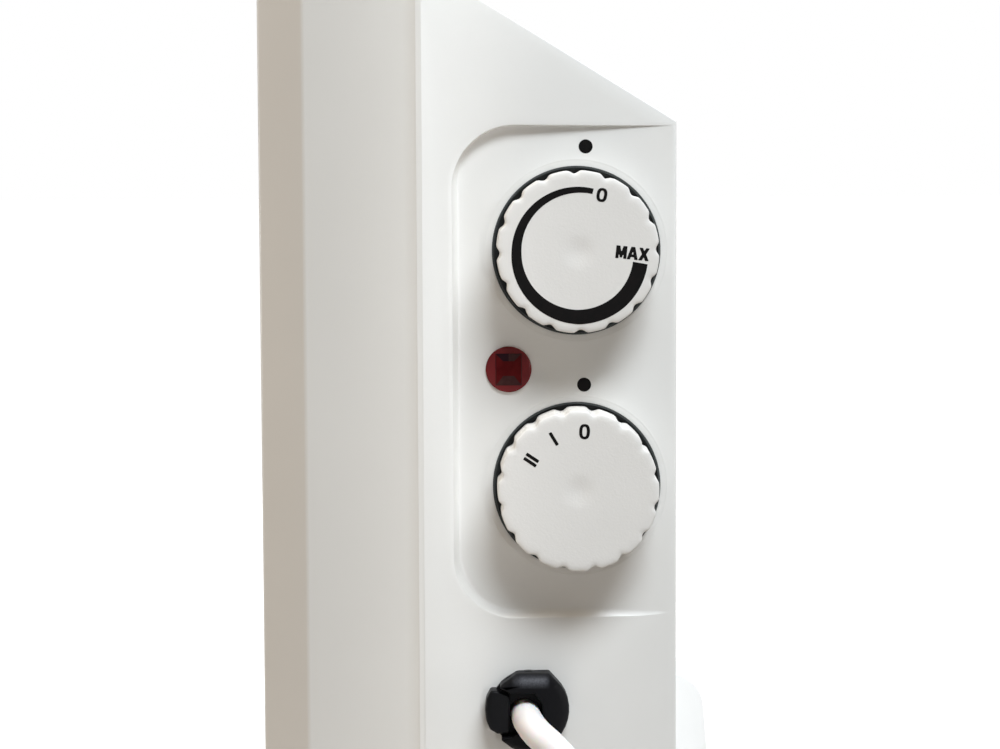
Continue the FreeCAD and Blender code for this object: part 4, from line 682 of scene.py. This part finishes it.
# Each letter's width and the corners of its outlines, for a height of 1
LETTERS = {
    "M": (0.98, [[(0, 0), (0, 1), (0.35, 1), (0.49, 0.5), (0.63, 1), (0.98, 1), (0.98, 0), (0.7, 0),
                  (0.7, 0.58), (0.59, 0.08), (0.39, 0.08), (0.28, 0.58), (0.28, 0)]]),
    "A": (0.98, [[(0, 0), (0.32, 1), (0.66, 1), (0.98, 0), (0.68, 0), (0.63, 0.19), (0.35, 0.19), (0.3, 0)],
                 [(0.41, 0.4), (0.57, 0.4), (0.49, 0.68)]]),
    "X": (0.96, [[(0, 0), (0.3, 0.51), (0.01, 1), (0.33, 1), (0.48, 0.75), (0.63, 1), (0.95, 1), (0.66, 0.51),
                  (0.96, 0), (0.63, 0), (0.48, 0.27), (0.33, 0)]]),
}
LETTER_GAP = 0.03
LETTER_ROUND = 0.035


def word(name, knob_name, text, size, place, turn):
    """Bold letters on a knob's face, centred at a place."""
    width, height = size
    bm = bmesh.new()
    total = sum(LETTERS[letter][0] for letter in text) + LETTER_GAP * (len(text) - 1)
    start = -total / 2
    for letter in text:
        advance, loops = LETTERS[letter]
        edges = []
        for loop in loops:
            soft = rounded([(x, y, LETTER_ROUND) for x, y in loop], steps=3)
            edges += line_of(bm, [Vector((start + spot.x, spot.y - 0.5, 0)) for spot in soft], closed=True)
        fill(bm, edges, merge_flat=True)
        start += advance + LETTER_GAP
    bmesh.ops.scale(bm, verts=bm.verts, vec=(width / total, height, 1))
    flat_on_knob(bm, knob_name, place, turn)
    printed(bm, name, f"{knob_name}_control")


def zero(name, knob_name, size, place, turn):
    """A bold figure 0, an oval with full corners."""
    width, height = size
    rows = []
    for wide, tall in ((width / 2, height / 2), (width / 2 - ZERO_SIDE, height / 2 - ZERO_END)):
        row = []
        for k in range(ZERO_POINTS):
            turned = 2 * math.pi * k / ZERO_POINTS
            along, over = math.cos(turned), math.sin(turned)
            full = (abs(along) ** ZERO_FULLNESS + abs(over) ** ZERO_FULLNESS) ** (-1 / ZERO_FULLNESS)
            row.append(Vector((wide * along * full, tall * over * full, 0)))
        rows.append(row)
    bm = bmesh.new()
    band(bm, rows, closed=True)
    flat_on_knob(bm, knob_name, place, turn)
    printed(bm, name, f"{knob_name}_control")


# Turn from the top in degrees, inner and outer radius in millimetres, at stations along the arc
ARC = [
    (13.8, 14.6, 15.9), (-30, 14.25, 16.0), (-90, 13.9, 16.35), (-135, 14.0, 17.0), (-180, 14.15, 17.7),
    (-220, 14.0, 17.65), (-259.7, 13.6, 17.25),
]
ARC_STEPS = 20


def growing_arc():
    """The thermostat's arc, which grows along its scale."""
    bm = bmesh.new()
    centre = on_knob("thermostat", 0, 0)
    near, far = [], []
    for first, last in zip(ARC, ARC[1:]):
        for k in range(ARC_STEPS if last is not ARC[-1] else ARC_STEPS + 1):
            turn, inner, outer = (a + (b - a) * k / ARC_STEPS for a, b in zip(first, last))
            out = Vector((0, math.sin(math.radians(turn)), math.cos(math.radians(turn))))
            near.append(centre + out * inner * MM)
            far.append(centre + out * outer * MM)
    band(bm, [near, far])
    printed(bm, "thermostat_arc", "thermostat_control")


def bar(name, knob_name, place, turn):
    """A short printed stroke, turned clockwise from upright."""
    bm = bmesh.new()
    bmesh.ops.create_grid(bm, x_segments=1, y_segments=1, size=0.5)
    bmesh.ops.scale(bm, verts=bm.verts, vec=(BAR_WIDTH, BAR_LENGTH, 1))
    bmesh.ops.bevel(bm, geom=list(bm.verts), offset=BAR_WIDTH * BAR_ROUND, offset_type="OFFSET",
                    affect="VERTICES", segments=3, profile=0.5, material=-1)
    flat_on_knob(bm, knob_name, place, turn)
    printed(bm, name, f"{knob_name}_control")


def dot(name, y, z):
    """A printed marker on the recess floor."""
    bm = bmesh.new()
    edges = line_of(bm, ring(Vector((0, y, z)), DOT_RADIUS, FLOOR, count=48), closed=True)
    bmesh.ops.contextual_create(bm, geom=edges)
    printed(bm, name, "heater")


def knob_marks():
    """The marks on both knobs' faces, and the dots above the knobs."""
    growing_arc()
    zero("thermostat_zero", "thermostat", size=(2.6 * MM, 3.4 * MM), place=(5.8 * MM, 13.9 * MM), turn=9)
    word("thermostat_max", "thermostat", "MAX", size=(8.25 * MM, 3.1 * MM), place=(13.3 * MM, -0.35 * MM),
         turn=6)
    zero("selector_zero", "selector", size=(2.65 * MM, 3.75 * MM), place=(1.45 * MM, 14.85 * MM), turn=2)
    bar("selector_one", "selector", place=(-6.15 * MM, 13.1 * MM), turn=-31)
    bar("selector_two_a", "selector", place=(-11.4 * MM, 8.45 * MM), turn=-56)
    bar("selector_two_b", "selector", place=(-12.0 * MM, 7.4 * MM), turn=-56)
    dot("thermostat_dot", y=28.2 * MM, z=333.85 * MM)
    dot("selector_dot", y=27.7 * MM, z=274.4 * MM)


# Lamp lens

LENS_RADIUS = 5.75 * MM
LENS_RISE = 0.8 * MM
LENS_FLAT = 4.5 * MM
LENS_FALL = 0.1 * MM
LENS_ROUND = 0.4 * MM
LENS_GAP = 0.02 * MM
STEM_RADIUS = 4.8 * MM
STEM_LENGTH = 4 * MM
WINDOW = (3.28 * MM, 3.98 * MM)
WINDOW_RIM = 0.15 * MM
WINDOW_RIM_INSET = 0.15 * MM
WINDOW_RIM_DROP = 0.1 * MM
WINDOW_SINK = 0.2 * MM
WINDOW_FACET = 1.9 * MM
WINDOW_FACET_LOWER = 1.25
# How far out, as a share of the window, and how high or low the facets with painted reflections start
FACETS_FROM = 0.5
REFLECTION_FACETS_FROM = 1.5 * MM


def window_row(inset, rise, lower=1.0):
    """Eight places round the lamp window, corners and middles. Lower scales the inset at the base."""
    wide, tall = WINDOW[0] - inset, WINDOW[1] - inset
    low = WINDOW[1] - inset * lower
    spots = [
        (-wide, tall), (0, tall), (wide, tall), (wide, 0), (wide, -low), (0, -low), (-wide, -low), (-wide, 0),
    ]
    return [LENS + Vector((rise, y, z)) for y, z in spots]


def lens():
    """Red lens: a round face with a soft rim, on a stem."""
    profile = [(LENS_RISE, 0)] + rounded([
        (LENS_RISE, LENS_FLAT), (LENS_RISE - LENS_FALL, LENS_RADIUS, LENS_ROUND), (LENS_GAP, LENS_RADIUS),
        (LENS_GAP, STEM_RADIUS),
    ], steps=6) + [(-STEM_LENGTH, STEM_RADIUS), (-STEM_LENGTH, 0)]
    piece = mesh_piece("lamp_lens", spun(profile, LENS, steps=64), LENS_RED)
    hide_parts("neon_lens")


def lamp_window():
    """The faceted window in the middle of the lens. Its dark red is painted shade for the lamp's unlit inside
    seen through the red lens; its upper left facets take a dim painted reflection, its upper right and lower
    facets a pale one.
    """
    bm = bmesh.new()
    ridge = LENS_RISE + WINDOW_RIM
    rows = [
        window_row(0, LENS_RISE - WINDOW_SINK),
        window_row(0, ridge - WINDOW_RIM_DROP),
        window_row(WINDOW_RIM_INSET, ridge),
        window_row(WINDOW_FACET, ridge - WINDOW_RIM_DROP, lower=WINDOW_FACET_LOWER),
    ]
    first, last = band(bm, rows, closed=True)
    for edges in (first, last):
        bmesh.ops.contextual_create(bm, geom=edges)
    bmesh.ops.recalc_face_normals(bm, faces=bm.faces)
    window = mesh_piece("lamp_window", bm, LENS_INSIDE_SHADE, crease=3)
    window.data.materials.append(LENS_DIM_REFLECTION)
    window.data.materials.append(LENS_PALE_REFLECTION)
    purple, pale = 1, 2
    for face in window.data.polygons:
        place = face.center - LENS
        outside = max(abs(place.y) / WINDOW[0], abs(place.z) / WINDOW[1]) > FACETS_FROM
        # Painted reflections on the outer facets: dim at the upper left, pale at the upper right and below
        if outside and place.z > REFLECTION_FACETS_FROM:
            face.material_index = purple if place.y < 0 else pale
        elif outside and place.z < -REFLECTION_FACETS_FROM:
            face.material_index = pale


# Cable bushing: a round base, a hood round the lead's outlet, and the jaw that closes it

BUSHING_SEAT = 288.2 * MM
BUSHING_FRONT = 295.6 * MM
JAW_FRONT = 294.7 * MM
OUTLET = Vector((0, 12.2, 191.8)) * MM
OUTLET_RADIUS = 3.85 * MM
FLANGE_RADIUS = 9.6 * MM
FLANGE_RISE = 2.6 * MM
NECK_RADIUS = 7.4 * MM
BUSHING_POINTS = 96
HOOD_BREAK = 4.3 * MM
HOOD_CUT = 1.1 * MM
HOOD_CUTS = 6
HOOD_SLOPE = 0.3
HOOD_CURVE = 45
FRONT_BAND = 0.08 * MM
FRONT_STEPS = 6
CORNER_STEPS = 6
# Corners from the bushing's centre in millimetres: across, up, corner radius, rounding of the front edge
HOOD_RADIUS = 10.25
HOOD_OUTSIDE = [
    (-7.3, 6.0, 0.5, 0.5), (-6.9, 6.8, 1.2, 1.5), (-2.85, 9.5, 2.4, 2.9), (5.2, 9.5, 0.9, 2.9),
] + [
    (HOOD_RADIUS * math.sin(math.radians(turn)), HOOD_RADIUS * math.cos(math.radians(turn)), 0.5, 1.8)
    for turn in range(45, 215, 10)
] + [(-7.4, -6.6, 0.4, 0.5)]
HOOD_INSIDE = [
    (-4.4, -6.3, 0.4, 0.35), (-2.4, -5.4, 1.5, 0.35), (1.9, -5, 2, 0.35), (3.6, -1.6, 2, 0.35),
    (3.4, 1.9, 1, 0.35), (1.4, 4.8, 0.6, 0.35), (-4.5, 4.85, 0.3, 0.35),
]
JAW_OUTSIDE = [
    (-9.5, 5.3, 0.8, 0.7), (-8.2, 5.3, 0.8, 0.7), (-4.75, 3.9, 0.8, 0.65), (-4.75, -5.6, 0.8, 0.65),
    (-7.9, -5.6, 0.8, 0.7), (-9.7, -4.6, 1.5, 1.2), (-10.7, -2.4, 3, 1.6), (-10.95, 0.4, 3, 1.6),
    (-10.6, 3.2, 3, 1.4),
]


def walled(name, outline, rounding, front, material, dip=None):
    """A black block with a rounded front edge, from its outline and the rounding at each place of it."""
    count = len(outline)
    inward = []
    for i in range(count):
        along = (outline[(i + 1) % count] - outline[i - 1]).normalized()
        inward.append(Vector((along.y, -along.x)))
    rows = [[Vector((BUSHING_SEAT, *spot)) for spot in outline]]
    for k in range(FRONT_STEPS + 1):
        turn = math.pi / 2 * k / FRONT_STEPS
        row = []
        for spot, way, soft in zip(outline, inward, rounding):
            y, z = spot + way * soft * (1 - math.cos(turn))
            row.append(Vector((front - soft * (1 - math.sin(turn)), y, z)))
        rows.append(row)
    rows.append([Vector((front, *(spot + way * (soft + FRONT_BAND))))
                 for spot, way, soft in zip(outline, inward, rounding)])
    bm = bmesh.new()
    base, rim = band(bm, rows, closed=True)
    for edges in (base, rim):
        fill(bm, edges)
    if dip:
        dip(bm)
    bmesh.ops.recalc_face_normals(bm, faces=bm.faces)
    piece = mesh_piece(name, bm, material)
    return piece


def outline_of(corners):
    """Places round an outline, and the rounding of the front edge at each."""
    centre = Vector((GLAND_CENTRE.y, GLAND_CENTRE.z))
    places = [centre + spot * MM for spot in rounded([corner[:3] for corner in corners], steps=CORNER_STEPS)]
    return places, [corner[3] * MM for corner in corners for _ in range(CORNER_STEPS + 1)]


def slope_away(bm):
    """Lets the hood's front fall away behind its outlet, from an upright break."""
    start = GLAND_CENTRE.y + HOOD_BREAK
    cut_across(bm, [start + k * HOOD_CUT for k in range(HOOD_CUTS)])
    height = BUSHING_FRONT - BUSHING_SEAT
    for vert in bm.verts:
        past = max(0.0, vert.co.y - start)
        drop = HOOD_SLOPE * past + HOOD_CURVE * past ** 2
        vert.co.x = BUSHING_SEAT + (vert.co.x - BUSHING_SEAT) * (1 - drop / height)


def bushing():
    """The base with its neck and bore, then the hood and the jaw."""
    floor_x = BUSHING_SEAT + FLANGE_RISE
    circles = [
        (GLAND_CENTRE, FLANGE_RADIUS, BUSHING_SEAT),
        (GLAND_CENTRE, FLANGE_RADIUS, floor_x),
        (OUTLET, OUTLET_RADIUS, floor_x),
        (OUTLET, OUTLET_RADIUS, GLAND_BACK),
        (GLAND_CENTRE, NECK_RADIUS, GLAND_BACK),
        (GLAND_CENTRE, NECK_RADIUS, BUSHING_SEAT),
        (GLAND_CENTRE, FLANGE_RADIUS, BUSHING_SEAT),
    ]
    bm = bmesh.new()
    band(bm, [ring(*circle, count=BUSHING_POINTS) for circle in circles], closed=True)
    close_up(bm)
    base = mesh_piece("bushing_base", bm, NYLON)
    hood = walled("bushing_hood", *outline_of(HOOD_OUTSIDE + HOOD_INSIDE), BUSHING_FRONT, HOOD_NYLON,
                  dip=slope_away)
    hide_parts("strain_relief_body")
    jaw = walled("bushing_jaw", *outline_of(JAW_OUTSIDE), JAW_FRONT, NYLON)
    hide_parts("strain_relief_jaw")


# Casing and feet

LIP_START = -17.2 * MM
LIP_END = -14.1 * MM
LIP_SINK = 1.0 * MM
LIP_RISE = 0.55 * MM
LIP_GROW = 0.15 * MM
LIP_REACH = 1.01
LIP_CUTS = 6
SHEET_BEND = 0.75 * MM
BEND_LEAST, BEND_MOST = 10, 60
BEND_HEIGHT = 0.9
FOOT_ROUND = 1.4 * MM
MOULDED_EDGE = 20


def curve_lip(bm):
    """Turns the front sheet's edge at each seam outwards in a soft curve, so that it meets the end cap."""
    width = LIP_END - LIP_START
    cut_across(bm, [LIP_START + width * k / LIP_CUTS for k in range(LIP_CUTS)])
    for vert in bm.verts:
        across = (vert.co.y - LIP_START) / width
        if 0 < across < LIP_REACH and abs(vert.co.x) > FLOOR:
            lift = LIP_SINK * across + LIP_RISE * across ** 2
            vert.co.x += math.copysign(lift, vert.co.x)
            vert.co.y += LIP_GROW * across
    bm.normal_update()


def front_sheet():
    """The folded front panel, with soft bends and a curved edge at each seam."""
    bm = joined("front_panel")
    curve_lip(bm)
    tall = (TOP - BASE) * BEND_HEIGHT

    def bend(edge):
        upright = abs(edge.verts[0].co.z - edge.verts[1].co.z) > tall
        return upright and BEND_LEAST < math.degrees(edge.calc_face_angle()) < BEND_MOST

    round_edges(bm, SHEET_BEND, bend, segments=5)
    piece = mesh_piece("front_sheet", bm, PANEL, crease=40)
    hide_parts("front_panel")


def top_and_plain_end():
    """The top sheet and the end cap without controls, as the solids have them."""
    for node, name, material, slot in (
        ("top_grille", "top_sheet", GRILLE, "casing_paint"),
        ("left_end_cap", "end_cap_plain", CAP, "cap_plastic"),
    ):
        piece = mesh_piece(name, joined(node), material)
        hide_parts(node)


def feet():
    """Both feet, with their outer edges rounded."""
    for side in ("left", "right"):
        bm = joined(f"{side}_foot")
        round_edges(bm, FOOT_ROUND, sharper_than(MOULDED_EDGE))
        piece = mesh_piece(f"{side}_foot_moulding", bm, FOOT)
        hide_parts(f"{side}_foot")


# Lead, coil, tie and plug

CORD = 7.5 * MM
CORD_GAP = 0.7 * MM
# The lead from the bushing down to the coil, in millimetres
CORD_ROUTE = [
    (278.8, 12.2, 191.8),
    (303, 12.2, 191.8),
    (311.2, 21.3, 185.8),
    (316.7, 32, 171),
    (320.2, 37.5, 147),
    (321.8, 39.5, 112),
    (322.8, 40, 78),
    (323.4, 41, 48),
    (323.8, 49, 20),
    (324.6, 67.5, 4.95),
    (324.6, 93.5, 4.95),
]
COIL_CENTRE = Vector((376, 101, 0)) * MM
COIL_INNER = 35 * MM
COIL_TURNS = 2
COIL_LEVEL = 4.95 * MM
TURN_POINTS = 20
PLUG_ROUND = 0.9 * MM
TIE_ROUND = 0.35 * MM
TIE_EDGE = 30


def coil_points():
    """Round inwards along the floor, up a layer, and out again on top."""
    pitch = CORD + CORD_GAP
    inward = COIL_TURNS * 2 * math.pi
    upward = inward + math.pi
    count = int((2 * COIL_TURNS + 0.5) * TURN_POINTS)
    points = []
    for k in range(count + 1):
        turned = 2 * math.pi * k / TURN_POINTS
        level = COIL_LEVEL
        if turned <= inward:
            radius = COIL_INNER + pitch * (inward - turned) / (2 * math.pi)
        elif turned < upward:
            radius = COIL_INNER - pitch / 4 * math.sin(turned - inward)
            level += pitch * (1 - math.cos(turned - inward)) / 2
        else:
            radius = COIL_INNER + pitch * (turned - upward) / (2 * math.pi)
            level += pitch
        radius /= math.cos(math.pi / TURN_POINTS)
        around = Vector((-math.cos(turned), math.sin(turned), 0))
        points.append(COIL_CENTRE + around * radius + Z_AXIS * level)
    return points


def lead():
    """The lead as one curve, from the bushing through its coil to the plug."""
    coil = coil_points()
    points = [Vector(place) * MM for place in CORD_ROUTE] + coil
    points.append(coil[-1] - Y_AXIS * 2 * CORD)
    curve = bpy.data.curves.new("lead", "CURVE")
    curve.dimensions = "3D"
    curve.bevel_depth = CORD / 2
    curve.bevel_resolution = 7
    curve.use_fill_caps = True
    spline = curve.splines.new("NURBS")
    spline.points.add(len(points) - 1)
    for point, place in zip(spline.points, points):
        point.co = (*place, 1)
    spline.order_u = 3
    spline.use_endpoint_u = True
    spline.resolution_u = 6
    piece = bpy.data.objects.new("lead", curve)
    bpy.context.scene.collection.objects.link(piece)
    curve.materials.append(LEAD)
    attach(piece, "heater")
    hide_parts("cord_drop", "cord_coil")
    return piece


def plug():
    """The plug's moulding, with its edges rounded."""
    bm = joined("plug_body")
    round_edges(bm, PLUG_ROUND, sharper_than(MOULDED_EDGE))
    piece = mesh_piece("plug_moulding", bm, LEAD)
    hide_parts("plug_body")
    return piece


def tie():
    """The strap round the coil."""
    bm = joined("cord_tie")
    round_edges(bm, TIE_ROUND, sharper_than(TIE_EDGE), segments=3)
    piece = mesh_piece("coil_tie", bm, STRAP)
    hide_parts("cord_tie")
    return piece


# Nodes that keep their own shape

CARRIED = {
    "back_panel": GRILLE, "bottom_grille": GRILLE, "control_plate": STEEL, "control_screws": STEEL,
    "thermostat_body": SWITCH, "selector_body": SWITCH, "thermostat_spindle": STEEL,
    "selector_spindle": STEEL, "thermostat_nut": STEEL, "selector_nut": STEEL, "neon_lamp": GLASS,
    "upper_element_fins": FINS, "lower_element_fins": FINS, "upper_element_rod": STEEL,
    "lower_element_rod": STEEL, "left_element_bracket": STEEL, "right_element_bracket": STEEL,
    "element_bushes": CERAMIC, "heat_shield": FINS, "thermal_cutout": STEEL, "terminal_block": BLOCK,
    "panel_screws": STEEL, "cap_screws": STEEL, "foot_pads": RUBBER, "foot_screws": STEEL, "wiring": WIRE,
    "plug_pins": NICKEL,
}


def carried():
    """Gives the nodes that keep their own shape their finishes."""
    for node, material in CARRIED.items():
        for slot in nodes[node].material_slots:
            slot.link = "OBJECT"
            slot.material = material


# Stage

CAMERA_PLACE = Vector((936.0, 0.3, 327.9)) * MM
CAMERA_PITCH = 4.48
CAMERA_YAW = 0.56
CAMERA_ROLL = -0.26
PHOTO_WIDTH = 1000
FOCAL_PIXELS = 2600
SENSOR = 36


def camera():
    """The camera's place and turn, matched to the photograph."""
    eye = bpy.data.cameras.new("photo_camera")
    eye.sensor_width = SENSOR
    eye.lens = SENSOR * FOCAL_PIXELS / PHOTO_WIDTH
    eye.clip_start = 0.01
    holder = bpy.data.objects.new("photo_camera", eye)
    turn = Matrix.Rotation(math.radians(90 - CAMERA_YAW), 4, "Z")
    tilt = Matrix.Rotation(math.radians(90 - CAMERA_PITCH), 4, "X")
    roll = Matrix.Rotation(math.radians(CAMERA_ROLL), 4, "Z")
    holder.matrix_world = Matrix.Translation(CAMERA_PLACE) @ turn @ tilt @ roll
    bpy.context.scene.collection.objects.link(holder)
    bpy.context.scene.camera = holder


def softbox(name, place, aim, size, power, tint=(1, 1, 1), spread=180):
    """A lamp with a flat rectangular face, turned towards its aim."""
    lamp = bpy.data.lights.new(name, "AREA")
    lamp.shape = "RECTANGLE"
    lamp.size, lamp.size_y = size
    lamp.energy = power
    lamp.color = tint
    lamp.spread = math.radians(spread)
    holder = bpy.data.objects.new(name, lamp)
    holder.location = place
    holder.visible_camera = False
    holder.rotation_euler = (Vector(aim) - Vector(place)).to_track_quat("-Z", "Y").to_euler()
    bpy.context.scene.collection.objects.link(holder)


def seen_directly(tree):
    """1 where the camera looks straight at the background, or sees it in metal or glass."""
    path = tree.nodes.new("ShaderNodeLightPath")
    total = path.outputs["Is Camera Ray"]
    for name in ("Is Glossy Ray", "Is Transmission Ray"):
        both = tree.nodes.new("ShaderNodeMath")
        both.operation = "MAXIMUM"
        tree.links.new(total, both.inputs[0])
        tree.links.new(path.outputs[name], both.inputs[1])
        total = both.outputs[0]
    return total


WHITE = (1, 1, 1, 1)
WORLD_LIGHT = 0.12
WORLD_TINT = (1.0, 0.84, 0.64, 1)
FLOOR_REACH = 30
FLOOR_TINT = (0.16, 0.135, 0.11, 1)
FLOOR_ROUGHNESS = 0.9
SHADOW_GREY = (0.5, 0.5, 0.5, 1)
# The floor's glow for the camera: near the heater, far from it, and where it changes
GLOW_NEAR, GLOW_FAR = 0.6, 1.0
GLOW_START, GLOW_END = 0.35, 0.55


def light_or_view(tree, lit, seen, output):
    """Sends one shader to the light and another to the camera."""
    mixed = tree.nodes.new("ShaderNodeMixShader")
    tree.links.new(seen_directly(tree), mixed.inputs["Fac"])
    tree.links.new(lit, mixed.inputs[1])
    tree.links.new(seen, mixed.inputs[2])
    tree.links.new(mixed.outputs[0], tree.nodes[output].inputs["Surface"])


def backdrop():
    """White to the camera, and a dim warm room to the heater."""
    world = bpy.data.worlds.new("white_studio")
    bpy.context.scene.world = world
    world.use_nodes = True
    tree = world.node_tree
    lit = tree.nodes["Background"]
    lit.inputs["Color"].default_value = WORLD_TINT
    lit.inputs["Strength"].default_value = WORLD_LIGHT
    white = tree.nodes.new("ShaderNodeBackground")
    white.inputs["Color"].default_value = WHITE
    white.inputs["Strength"].default_value = 1
    light_or_view(tree, lit.outputs[0], white.outputs[0], "World Output")


def floor_white():
    """Dull to the light, and white to the camera apart from the heater's shadow."""
    made = Finish("floor_white")
    made.set(Base_Color=FLOOR_TINT, Roughness=FLOOR_ROUGHNESS)
    shadowed = made.node("ShaderNodeBsdfDiffuse")
    shadowed.inputs["Color"].default_value = SHADOW_GREY
    away = made.node("ShaderNodeVectorMath", operation="LENGTH")
    made.link(made.place, away.inputs[0])
    glow = made.node("ShaderNodeEmission")
    strength = made.span(away.outputs["Value"], GLOW_NEAR, GLOW_FAR, start=GLOW_START, end=GLOW_END)
    made.link(strength, glow.inputs["Strength"])
    both = made.node("ShaderNodeAddShader")
    made.link(shadowed.outputs[0], both.inputs[0])
    made.link(glow.outputs[0], both.inputs[1])
    light_or_view(made.tree, made.shader.outputs[0], both.outputs[0], "Material Output")
    return made.material


def floor():
    """A wide flat floor under the heater."""
    bm = bmesh.new()
    bmesh.ops.create_grid(bm, x_segments=2, y_segments=2, size=FLOOR_REACH)
    mesh = bpy.data.meshes.new("floor")
    bm.to_mesh(mesh)
    bm.free()
    ground = bpy.data.objects.new("floor", mesh)
    bpy.context.scene.collection.objects.link(ground)
    mesh.materials.append(floor_white())


def lights():
    """The main lamp from high on the right, and small ones for the room's bounced light."""
    softbox("key", place=(1.187, 0.53, 1.8), aim=(FLOOR, 0.01, 0.28), size=(1.12, 0.52), power=46.5,
            tint=(0.89, 0.95, 1.0))
    softbox("table_front", place=(0.56, -0.02, 0.012), aim=(FLOOR, 0.018, 0.295), size=(0.12, 0.12),
            power=0.0037, tint=(1.0, 0.95, 0.9), spread=22)
    softbox("left_fill", place=(0.15, -0.9, 0.28), aim=(0.28, -0.05, 0.25), size=(0.6, 0.5), power=0.4,
            tint=(1.0, 0.84, 0.64))
    softbox("left_high", place=(0.4, -0.9, 1.0), aim=(FLOOR, 0.015, 0.23), size=(0.12, 0.5), power=4.3,
            tint=(1.0, 0.86, 0.7))
    softbox("right_fill", place=(0.33, 0.6, 0.2), aim=(0.2, 0.06, 0.15), size=(0.15, 0.15), power=0.0225,
            spread=24)
    softbox("seam_strip", place=(0.85, 0.2, 0.2), aim=(FACE, -0.008, 0.2), size=(0.02, 0.44), power=0.006,
            spread=5)
    softbox("table_bounce", place=(0.35, -0.03, 0.012), aim=(FACE, 0, 0.27), size=(0.16, 0.1),
            power=0.0145, tint=(1.0, 0.9, 0.8), spread=50)
    softbox("front_fill", place=(-0.6, -1.6, 0.6), aim=(-0.12, -0.05, 0.22), size=(0.3, 0.3), power=0.42,
            tint=(0.9, 0.95, 1.0), spread=34)
    softbox("rear_fill", place=(-0.9, 1.2, 1.2), aim=(0, 0, 0.2), size=(1.2, 1.2), power=6)
    softbox("plain_end_fill", place=(-1.6, -0.1, 0.8), aim=(-0.3, 0, 0.2), size=(0.8, 0.8), power=6)


# The whole scene

right_cap()
for knob_name in KNOB:
    knob(knob_name)
    knob_ring(knob_name)
knob_marks()
lens()
lamp_window()
bushing()
front_sheet()
top_and_plain_end()
feet()
carried()
cord_piece = lead()
plug_piece = plug()
tie_piece = tie()
backdrop()
floor()
lights()
camera()
bpy.context.scene.view_settings.view_transform = "Standard"
